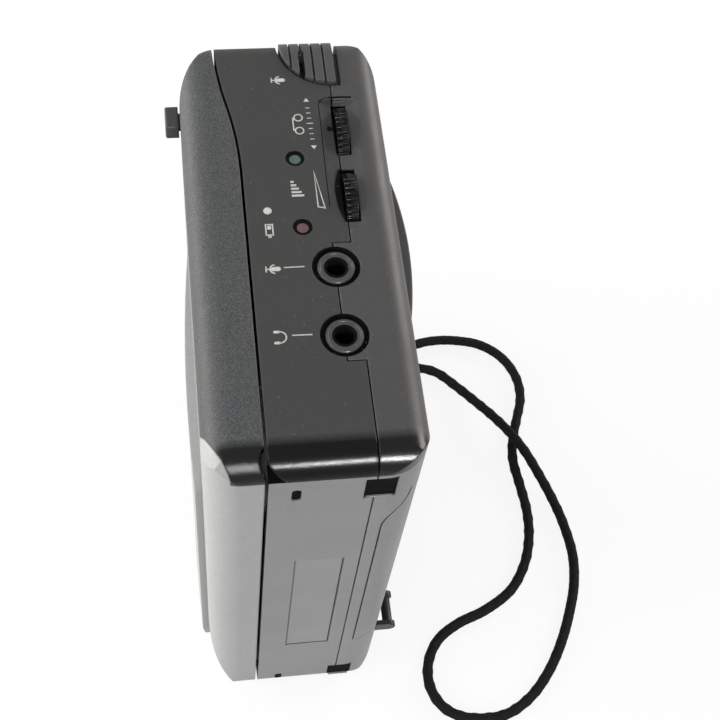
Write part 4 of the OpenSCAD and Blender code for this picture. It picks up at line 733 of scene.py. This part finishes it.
def ribbon(points, width, closed):
    """Left and right points of a line of that width, with mitred turns."""
    points = [Vector(p) for p in points]
    last = len(points) - 1
    pairs = []
    for i, p in enumerate(points):
        behind = points[i - 1] if closed or i else 2 * p - points[1]
        ahead = points[(i + 1) % len(points)] if closed or i < last else 2 * p - points[i - 1]
        to = (p - behind).normalized()
        on = (ahead - p).normalized()
        across = Vector((-to.y - on.y, to.x + on.x)).normalized()
        reach = width / 2 / max(across.dot(Vector((-on.y, on.x))), SHARPEST_MITRE)
        pairs.append((p + across * reach, p - across * reach))
    return pairs


def relief(name, face, at, finish, fills=(), lines=(), lift=INK_LIFT, sink=INK_SINK, body="case"):
    """Shapes from sink below a face to lift above it: outlines that are filled, and strokes."""
    across, up, out = (Vector(v) for v in FACES[face])
    mesh = bmesh.new()

    def point(place, height):
        return mesh.verts.new((Vector(at) + across * place[0] + up * place[1] + out * height) * MM)

    for outline in fills:
        high = [point(p, lift) for p in outline]
        low = [point(p, -sink) for p in outline]
        mesh.faces.new(high)
        mesh.faces.new(low)
        for wall in zip(high, high[1:] + high[:1], low[1:] + low[:1], low):
            mesh.faces.new(wall)
    for points, width, closed in lines:
        rows = []
        for left, right in ribbon(points, width, closed):
            rows.append([point(left, lift), point(right, lift), point(right, -sink), point(left, -sink)])
        spans = list(zip(rows, rows[1:]))
        if closed:
            spans.append((rows[-1], rows[0]))
        else:
            mesh.faces.new(rows[0])
            mesh.faces.new(rows[-1])
        for a, b in spans:
            for k in range(4):
                mesh.faces.new((a[k], b[k], b[(k + 1) % 4], a[(k + 1) % 4]))
    return piece(name, mesh_data(name, mesh), finish, body)


def turned_ring(name, x, y, profile, finish):
    """A ring on the case turned about an upright axis; profile is a closed row of (radius, height)."""
    mesh = bmesh.new()
    rows = []
    for k in range(RING_SIDES):
        a = 2 * math.pi * k / RING_SIDES
        rows.append([mesh.verts.new(Vector((x + r * math.cos(a), y + r * math.sin(a), z)) * MM)
                     for r, z in profile])
    for k, row in enumerate(rows):
        after = rows[(k + 1) % RING_SIDES]
        for i in range(len(profile)):
            n = (i + 1) % len(profile)
            mesh.faces.new((row[i], after[i], after[n], row[n]))
    return piece(name, mesh_data(name, mesh), finish)


def raised(profile, base):
    """A turned profile whose heights are counted from base."""
    return [(r, base + z) for r, z in profile]


# Repeated pieces, grown by geometry nodes
ROD_SIDES = 14


def rod_row():
    """A row of round rods, each as long as twice Half."""
    group = bpy.data.node_groups.new("rod row", "GeometryNodeTree")
    group.interface.new_socket("Geometry", in_out="OUTPUT", socket_type="NodeSocketGeometry")
    for label, kind in (("Count", "Int"), ("First", "Vector"), ("Step", "Vector"), ("Half", "Vector"),
                        ("Radius", "Float"), ("Finish", "Material")):
        group.interface.new_socket(label, in_out="INPUT", socket_type="NodeSocket" + kind)
    t = Tree(group)
    given = t.add("NodeGroupInput").outputs
    places = t.add("GeometryNodeMeshLine", {"Count": given["Count"], "Start Location": given["First"],
                                            "Offset": given["Step"]}).outputs[0]
    back = t.add("ShaderNodeVectorMath", {0: given["Half"], "Scale": -1.0}, operation="SCALE").outputs[0]
    spine = t.add("GeometryNodeCurvePrimitiveLine", {"Start": back, "End": given["Half"]}).outputs[0]
    section = t.add("GeometryNodeCurvePrimitiveCircle", {"Resolution": ROD_SIDES, "Radius": given["Radius"]})
    rod = t.add("GeometryNodeCurveToMesh", {"Curve": spine, "Profile Curve": section.outputs[0],
                                            "Fill Caps": True}).outputs[0]
    row = t.add("GeometryNodeInstanceOnPoints", {"Points": places, "Instance": rod}).outputs[0]
    whole = t.add("GeometryNodeRealizeInstances", {"Geometry": row}).outputs[0]
    dressed = t.add("GeometryNodeSetMaterial", {"Geometry": whole, "Material": given["Finish"]}).outputs[0]
    t.put(t.add("NodeGroupOutput").inputs["Geometry"], dressed)
    return group


ROD_ROW = rod_row()


def rods(name, finish, body, count, first, step, half, radius):
    """A row of rods as a plain mesh that rides on a body; places and sizes in millimetres."""
    holder = bpy.data.objects.new(name + "_tree", bpy.data.meshes.new(name + "_tree"))
    bpy.context.scene.collection.objects.link(holder)
    grow = holder.modifiers.new("grow", "NODES")
    grow.node_group = ROD_ROW
    values = {"Count": count, "First": Vector(first) * MM, "Step": Vector(step) * MM,
              "Half": Vector(half) * MM, "Radius": radius * MM, "Finish": FINISHES[finish]}
    for item in ROD_ROW.interface.items_tree:
        if item.in_out == "INPUT":
            grow[item.identifier] = values[item.name]
    seen = holder.evaluated_get(bpy.context.evaluated_depsgraph_get())
    mesh = bmesh.new()
    mesh.from_mesh(bpy.data.meshes.new_from_object(seen))
    bpy.data.objects.remove(holder)
    return piece(name, mesh_data(name, mesh), finish, body)


# Signs, each as its filled outlines and its strokes
POINTER_TAIL = 0.6


def mic_sign(x, y):
    """A microphone."""
    head = soft_box(x, y + 0.65, 0.9, 1.7, 0.44)
    cradle = arc(x, y + 0.5, 0.85, 180, 360)
    stem = [(x, y - 0.48), (x, y - 0.9)]
    foot = [(x - 0.6, y - 1.02), (x + 0.6, y - 1.02)]
    return [head], [stroke(cradle), stroke(stem), stroke(foot)]


def headphone_sign(x, y):
    """Two cups and the bow between them."""
    bow_r = 1.05
    cups = [soft_box(x + side * bow_r, y - 0.5, 0.55, 1.1, 0.25) for side in (-1, 1)]
    return cups, [stroke(arc(x, y, bow_r, 0, 180))]


def battery_sign(x, y):
    """A battery cell, half full."""
    corners = ((-1.1, -0.6), (1.1, -0.6), (1.1, 0.6), (-1.1, 0.6))
    shell = [(x + dx, y + dy) for dx, dy in corners]
    tip = soft_box(x + 1.5, y, 0.4, 0.6, 0.1)
    charge = soft_box(x - 0.45, y, 0.8, 0.7, 0.05)
    return [tip, charge], [stroke(shell, closed=True)]


def level_sign(x, y):
    """Bars that grow to the right."""
    pitch = 0.75
    growth = 0.4
    bars = [soft_box(x + pitch * k, y + growth / 2 * k, 0.45, 0.6 + growth * k, 0.05) for k in range(5)]
    return bars, []


def reel_sign(x, y):
    """Two reels and the tape under them."""
    apart = 1.5
    drop = 1.0
    reels = [stroke(disc(x + side * apart, y, 0.75), closed=True) for side in (-1, 1)]
    return [], reels + [stroke([(x - apart, y - drop), (x + apart, y - drop)])]


def pointer(x, y, size, way):
    """A triangle that points along X, or against it."""
    tail = x - way * size * POINTER_TAIL
    return [(x + way * size, y), (tail, y + size), (tail, y - size)]


# Print on the control panel: the middles of its signs, then its lines
SOCKET_MIC_AT = (6.5, -4.7)
HEADPHONE_AT = (19.9, -4.5)
GRILLE_MIC_AT = (-35.0, -0.4)
BATTERY_AT = (-1.6, -4.5)
LEVEL_AT = (-11.6, 0.3)
REELS_AT = (-24.5, 2.7)
RECORD_DOT_AT = (-5.6, -4.5)
RECORD_DOT_R = 0.75
SLOW_AT = (-30.0, 4.55)
FAST_AT = (-19.2, 4.95)
SPEED_ARROW = 0.55
MIC_LINE = [(6.3, -2.7), (6.27, 0.82)]
HEADPHONE_LINE = [(19.65, -2.52), (19.7, 0.87)]
VOLUME_WEDGE = [(-13.66, 4.35), (-6.0, 4.4), (-5.68, 5.58)]
SPEED_MARKS = 7
SPEED_FIRST = (-28.2, 4.6)
SPEED_STEP = (1.2, 0.04)
SPEED_HALF = 0.4
SPEED_MIDDLE_HALF = 0.6
SPEED_WIDTH = 0.2


def top_print():
    """White print on the control panel: a line to each socket, a volume wedge, a speed scale and signs."""
    fills = []
    lines = []
    signs = [mic_sign(*SOCKET_MIC_AT), headphone_sign(*HEADPHONE_AT), mic_sign(*GRILLE_MIC_AT),
             battery_sign(*BATTERY_AT), level_sign(*LEVEL_AT), reel_sign(*REELS_AT)]
    for outlines, strokes in signs:
        fills += outlines
        lines += strokes
    fills.append(disc(*RECORD_DOT_AT, RECORD_DOT_R))
    fills.append(pointer(*SLOW_AT, SPEED_ARROW, -1))
    fills.append(pointer(*FAST_AT, SPEED_ARROW, 1))
    lines += [stroke(MIC_LINE), stroke(HEADPHONE_LINE), stroke(VOLUME_WEDGE, closed=True)]
    for k in range(SPEED_MARKS):
        x = SPEED_FIRST[0] + SPEED_STEP[0] * k
        y = SPEED_FIRST[1] + SPEED_STEP[1] * k
        half = SPEED_MIDDLE_HALF if k == SPEED_MARKS // 2 else SPEED_HALF
        lines.append(stroke([(x, y - half), (x, y + half)], SPEED_WIDTH))
    relief("top_print", "top", (0, 0, PANEL_TOP), "ink", fills, lines)


# Finger trough of the wheels; tops below the panel's face are negative, here and on the right side
TROUGH_CORNER = (-28.6, 8.6)
TROUGH_CORNER_R = 1.9
TROUGH_FRONT = [(-21.5, 6.6), (-13.7, 6.46), (-6.0, 6.42)]
TROUGH_LINE = 0.14
TROUGH_END = [(-30.4, 12.9), (-30.5, 11.0), (-30.45, 8.7)]
TROUGH_END_SHADE = 0.42
TROUGH_LIFT = 0.015
STOP_AT = (-23.4, 8.1)
STOP_R = 0.4
STOP_STEM = [(0, 0.38), (0, 0.9)]
STOP_STEM_W = 0.4
STOP_TOP = -0.1
STOP_DEPTH = 1.0
HOLLOW_Y = 21.73
HOLLOW_R = 14.08
HOLLOW_TURN = 24.3
HOLLOW_TOP = -0.03
HOLLOW_DEPTH = 0.5


def finger_trough():
    """Painted shade on the trough's rim and in the volume's hollow, painted shadow at its left end,
    and the speed wheel's stop.
    """
    edge = arc(*TROUGH_CORNER, TROUGH_CORNER_R, 180, 270, CORNER_STEPS) + TROUGH_FRONT
    relief("trough_edge_shade", "top", (0, 0, PANEL_TOP), "hollow",
           lines=[stroke(edge, TROUGH_LINE), stroke(TROUGH_END, TROUGH_END_SHADE)], lift=TROUGH_LIFT)
    relief("speed_stop", "top", (*STOP_AT, PANEL_TOP), "hollow", [disc(0, 0, STOP_R)],
           [stroke(STOP_STEM, STOP_STEM_W)], lift=STOP_TOP, sink=STOP_DEPTH)
    # Dull black fill of the volume wheel's hollow: painted shade
    hollow = arc(middle_of("volume_wheel").x, HOLLOW_Y, HOLLOW_R, 270 - HOLLOW_TURN, 270 + HOLLOW_TURN)
    relief("volume_hollow_shade", "top", (0, 0, PANEL_TOP), "hollow", [hollow], lift=HOLLOW_TOP, sink=HOLLOW_DEPTH)


# Rims of the lamps and sockets, as (radius, height)
LAMP_Y = 1.3
LAMP_RIM = [(1.68, -0.04), (1.68, -1.0), (1.26, -1.0)]
LAMP_LIP = [(1.26, 0.03), (1.04, 0.03), (1.04, 0.1)]
JACK_Y = 6.2
JACK_WELL = [(4.1, -0.03), (4.1, -0.88), (3.24, -0.88), (3.24, -0.78), (3.95, -0.78), (3.98, -0.03)]
JACK_LIP = [(3.18, -0.3), (3.18, -0.02), (3.02, 0.12), (2.78, 0.12), (2.66, 0.02), (2.66, -0.3)]
JACK_SLEEVE = [(1.79, 0.005), (1.79, -11.4), (0.01, -11.4), (0.01, -11.2),
               (1.7, -11.2), (1.7, 0.03), (2.12, 0.03), (2.12, 0.005)]


def lamp_rims():
    """Black dished rim round each lamp, with a narrow lip over its lens."""
    for node in ("level_lamp", "record_lamp"):
        profile = raised(LAMP_RIM, PANEL_TOP) + raised(LAMP_LIP, high_of(node).z)
        turned_ring(node + "_rim", middle_of(node).x, LAMP_Y, profile, "hollow")


def jack_rims():
    """Dull black lining of the recess round each plug socket and a dark sleeve in its bore, both painted
    shade, and a rounded lip on its bush.
    """
    for node in JACKS:
        x = middle_of(node).x
        bush_top = high_of(node).z
        turned_ring(node + "_well_shade", x, JACK_Y, raised(JACK_WELL, PANEL_TOP), "hollow")
        turned_ring(node + "_lip", x, JACK_Y, raised(JACK_LIP, bush_top), "bush")
        turned_ring(node + "_sleeve_shade", x, JACK_Y, raised(JACK_SLEEVE, bush_top), "hollow")


# Right side: vents, strap slots and the bare plate
VENT_Y = -3.6
VENT_Z = (6.8, 108.2)
VENT = soft_box(0, 0, 1.5, 4.3, 0.74)
VENT_TOP = -0.35
VENT_DEPTH = 0.8
SLOT_Y = 10.2
SLOT_Z = (8.0, 108.8)
SLOT = soft_box(0, 0, 5.3, 7.5, 0.3)
SLOT_TOP = -0.5
SLOT_DEPTH = 0.98
SILL = [(-2.2, -3.55), (2.2, -3.55)]
SILL_WIDTH = 0.22
SILL_TOP = -0.12
SILL_DEPTH = 0.9
PLATE_Y = 1.85
PLATE_Z = 54.2
PLATE = soft_box(0, 0, 8.8, 49.2, 0.4)
PLATE_BED = 0.3
PLATE_LIFT = 0.16
PLATE_FOOT = [(-4.4, -24.3), (4.2, -24.3)]
PLATE_FOOT_SHADE = 0.3
PLATE_REAR = [(4.3, -24.0), (4.3, 24.2)]
PLATE_REAR_SHADE = 0.12


def side_details():
    """Painted shade lining the vents and strap slots, and the bare plate on the right side with painted
    shade along its lower and rear edges.
    """
    for k, z in enumerate(VENT_Z):
        relief("vent_lining_%d" % k, "right", (CASE_RIGHT, VENT_Y, z), "hollow", [VENT],
               lift=VENT_TOP, sink=VENT_DEPTH)
    for k, z in enumerate(SLOT_Z):
        at = (CASE_RIGHT, SLOT_Y, z)
        relief("strap_slot_%d" % k, "right", at, "hollow", [SLOT], lift=SLOT_TOP, sink=SLOT_DEPTH)
        relief("slot_sill_%d" % k, "right", at, "silver", lines=[stroke(SILL, SILL_WIDTH)],
               lift=SILL_TOP, sink=SILL_DEPTH)
    bed = CASE_RIGHT - PLATE_BED
    relief("side_plate", "right", (bed, PLATE_Y, PLATE_Z), "plate", [PLATE], lift=PLATE_LIFT)
    # Dark lines along the plate's lower and rear edges, where it sits sunk: painted shade
    relief("side_plate_edge_shade", "right", (bed + PLATE_LIFT, PLATE_Y, PLATE_Z), "hollow",
           lines=[stroke(PLATE_FOOT, PLATE_FOOT_SHADE), stroke(PLATE_REAR, PLATE_REAR_SHADE)])


# Notch beside the hinge, at the right end of the top
NOTCH_INNER = CASE_RIGHT - 3.4
NOTCH_OUTER = CASE_RIGHT - 0.05
NOTCH_Y = (-8.3, -5.35)
NOTCH_SHADE = [(-8.2, -4.5), (-5.3, -4.5), (-8.1, -1.2)]
LINING_LIFT = 0.1
LINING_SINK = 0.2


def hinge_notch():
    """Painted shade: a dark floor and lining in the notch."""
    front, back = NOTCH_Y
    floor = [(NOTCH_INNER, front), (NOTCH_OUTER, front), (NOTCH_OUTER, back), (NOTCH_INNER, back)]
    relief("hinge_floor_shade", "top", (0, 0, PANEL_FOOT), "hollow", [floor])
    relief("hinge_shade", "right", (NOTCH_INNER, 0, PANEL_TOP), "hollow", [NOTCH_SHADE],
           lift=LINING_LIFT, sink=LINING_SINK)


# Signs on the keys
WIND_SIZE = 1.3
WIND_BACK = 0.8
WIND_AHEAD = 1.3
PLAY_SIZE = 1.7
RECORD_R = 1.4
STOP_SQUARE = soft_box(0, 0, 2.6, 2.6, 0.15)


def wind_sign(way):
    """Two triangles in a row, forward or back."""
    return [pointer(way * -WIND_BACK, 0, WIND_SIZE, way), pointer(way * WIND_AHEAD, 0, WIND_SIZE, way)]


def key_signs():
    """A plain sign on each key, which travels with it."""
    signs = {"stop_key": [STOP_SQUARE], "forward_key": wind_sign(1), "rewind_key": wind_sign(-1),
             "play_key": [pointer(0, 0, PLAY_SIZE, 1)], "record_key": [disc(0, 0, RECORD_R)]}
    for key, fills in signs.items():
        at = (low_of(key).x, middle_of(key).y, middle_of(key).z)
        ink = "red_ink" if key == "record_key" else "ink"
        relief(key + "_sign", "left", at, ink, fills, body=BODY_OF[key])


# Widths of the rounded edges, and how far outside the case an edge has to be
STRAP_END_EDGE = 0.6
KEY_EDGE = 0.7
MIC_GRILLE_EDGE = 0.3
KNOB_EDGE = 0.4
SPEAKER_EDGE = 0.3
EYELET_EDGE = 0.35
CLEAR_OF_CASE = 0.3
CLEAR_OF_BACK = 0.4
KNOB_BASE = (low_of("latch_slider").y + low_of("door_top_band").y) / 2


def soft_edges():
    """Rounded edges on the pieces that fingers touch."""
    for key in KEYS:
        softened(key, KEY_EDGE, "key", lambda p: p.x < CASE_LEFT - CLEAR_OF_CASE)
    softened("mic_grille", MIC_GRILLE_EDGE, "grille", lambda p: p.z > PANEL_TOP + CLEAR_OF_CASE)
    softened("latch_slider", KNOB_EDGE, "knob", lambda p: p.y < KNOB_BASE)
    softened("speaker_grille", SPEAKER_EDGE, "speaker", lambda p: p.y > CASE_BACK + CLEAR_OF_BACK)
    softened("strap_eyelets", EYELET_EDGE, "black", lambda p: p.y > CASE_BACK + CLEAR_OF_CASE)


# Back: wire cloth, and the battery door's grip and arrow
CLOTH = soft_box(0, 0, 29.0, 29.0, 1.0)
CLOTH_LIFT = 0.25
CLOTH_FOOT = 0.1
GRIP_X = 29.0
GRIP_Z = 84.0
GRIP_RIBS = 6
GRIP_PITCH = 1.7
GRIP_HALF = 5.5
GRIP_R = 0.45
ARROW_Z = 78.0
ARROW = [(0, 2.0), (-2.4, -1.6), (2.4, -1.6)]
ARROW_LIFT = 0.22
ARROW_SINK = 0.1


def back_details():
    """Wire cloth behind the sound slots, and the grip and arrow on the battery door."""
    grille = middle_of("speaker_grille")
    relief("speaker_mesh", "back", (grille.x, CASE_BACK, grille.z), "wire_cloth", [CLOTH],
           lift=CLOTH_LIFT, sink=-CLOTH_FOOT)
    rods("battery_grip", "silver", "battery_door", GRIP_RIBS, (GRIP_X, CASE_BACK, GRIP_Z),
         (0, 0, GRIP_PITCH), (GRIP_HALF, 0, 0), GRIP_R)
    relief("battery_arrow", "back", (GRIP_X, CASE_BACK, ARROW_Z), "silver", [ARROW],
           lift=ARROW_LIFT, sink=ARROW_SINK, body="battery_door")


# Scale on the cassette window
SCALE_MARKS = 9
SCALE_INSET = 5.0
SCALE_MARGIN = 8.0
SCALE_HALF = 1.3
SCALE_R = 0.09


def window_scale():
    """White scale lines down the right edge of the cassette window."""
    low = low_of("door_window")
    high = high_of("door_window")
    pitch = (high.z - low.z - 2 * SCALE_MARGIN) / (SCALE_MARKS - 1)
    rods("window_scale", "ink", "door", SCALE_MARKS, (high.x - SCALE_INSET, low.y, low.z + SCALE_MARGIN),
         (0, 0, pitch), (SCALE_HALF, 0, 0), SCALE_R)


# Floor, world and lamps, in metres and watts
FLOOR_REACH = 3.0
FLOOR_GREY = grey(0.8)
FLOOR_GLOW = 0.85
SHADOW_REACH = 0.3
WHITE = grey(1.0)
SKY_STRENGTH = 0.35
LIT_PLACE = Vector((0.0, 0.0, 0.06))
DAYLIGHT = (1.0, 1.0, 1.0)
WARM_FRONT = (1.0, 0.95, 0.86)
WARM_REAR = (1.0, 0.92, 0.86)


def background_rays(t):
    """1 for the rays that see the background straight, mirrored or through the window."""
    rays = t.add("ShaderNodeLightPath").outputs
    mirrored = t.math("MAXIMUM", rays["Is Camera Ray"], rays["Is Glossy Ray"])
    return t.math("MAXIMUM", mirrored, rays["Is Transmission Ray"])


def white_floor():
    """Finish of the floor: white to the eye, with the shadow kept near the object."""
    material = bpy.data.materials.new("white floor")
    material.use_nodes = True
    material.node_tree.nodes.clear()
    t = Tree(material.node_tree)
    plain = t.add("ShaderNodeBsdfDiffuse", {"Color": FLOOR_GREY}).outputs[0]
    glow = t.add("ShaderNodeEmission", {"Color": WHITE, "Strength": 1.0}).outputs[0]
    away = t.add("ShaderNodeVectorMath", {0: t.object_place()}, operation="LENGTH").outputs["Value"]
    share = t.ramp(away, SHADOW_REACH, 2 * SHADOW_REACH, FLOOR_GLOW, 1.0)
    factor = t.math("MULTIPLY", background_rays(t), share)
    mixed = t.add("ShaderNodeMixShader", {0: factor, 1: plain, 2: glow}).outputs[0]
    t.put(t.add("ShaderNodeOutputMaterial").inputs["Surface"], mixed)
    return material


def stage():
    """The floor that the object stands on."""
    reach = FLOOR_REACH
    corners = [(-reach, -reach, 0), (reach, -reach, 0), (reach, reach, 0), (-reach, reach, 0)]
    data = bpy.data.meshes.new("floor")
    data.from_pydata(corners, [], [(0, 1, 2, 3)])
    data.materials.append(white_floor())
    floor = bpy.data.objects.new("floor", data)
    bpy.context.scene.collection.objects.link(floor)


def world():
    """A dim white sky, which looks plain white."""
    sky = bpy.data.worlds.new("studio")
    bpy.context.scene.world = sky
    sky.use_nodes = True
    sky.node_tree.nodes.clear()
    t = Tree(sky.node_tree)
    dim = t.add("ShaderNodeBackground", {"Color": WHITE, "Strength": SKY_STRENGTH}).outputs[0]
    bright = t.add("ShaderNodeBackground", {"Color": WHITE, "Strength": 1.0}).outputs[0]
    mixed = t.add("ShaderNodeMixShader", {0: background_rays(t), 1: dim, 2: bright}).outputs[0]
    t.put(t.add("ShaderNodeOutputWorld").inputs["Surface"], mixed)


def lamp(name, place, size, power, tint=DAYLIGHT, glossy=True, diffuse=True):
    """A flat lamp that faces the object; glossy and diffuse say which reflections it shows in."""
    light = bpy.data.lights.new(name, "AREA")
    light.shape = "RECTANGLE"
    light.size, light.size_y = size
    light.energy = power
    light.color = tint
    made = bpy.data.objects.new(name, light)
    made.location = place
    made.rotation_mode = "QUATERNION"
    made.rotation_quaternion = (LIT_PLACE - made.location).to_track_quat("-Z", "Y")
    made.visible_glossy = glossy
    made.visible_diffuse = diffuse
    bpy.context.scene.collection.objects.link(made)


# The pieces added to the recorder
wrist_cord(softened("strap_end", STRAP_END_EDGE, "black", lambda p: True))
top_print()
finger_trough()
lamp_rims()
jack_rims()
side_details()
hinge_notch()
key_signs()
soft_edges()
back_details()
window_scale()

# What stands round it
photo_camera()
stage()
world()
lamp("top_lamp", (0.25, -0.15, 0.8), (0.6, 0.5), 3.0, glossy=False)
lamp("front_lamp", (0.12, -0.85, 0.35), (0.5, 0.5), 6.0)
lamp("brow_lamp", (-0.45, -0.8, 0.2), (0.3, 0.4), 7.0, WARM_FRONT)
lamp("edge_lamp", (0.8, 0.1, 0.5), (0.5, 0.06), 1.3)
lamp("gloss_lamp", (0.8, 0.13, 0.56), (0.12, 0.08), 13.0, diffuse=False)
lamp("rear_lamp", (-0.45, 0.75, 0.3), (0.5, 0.3), 6.0, WARM_REAR)
bpy.context.scene.view_settings.view_transform = "Standard"
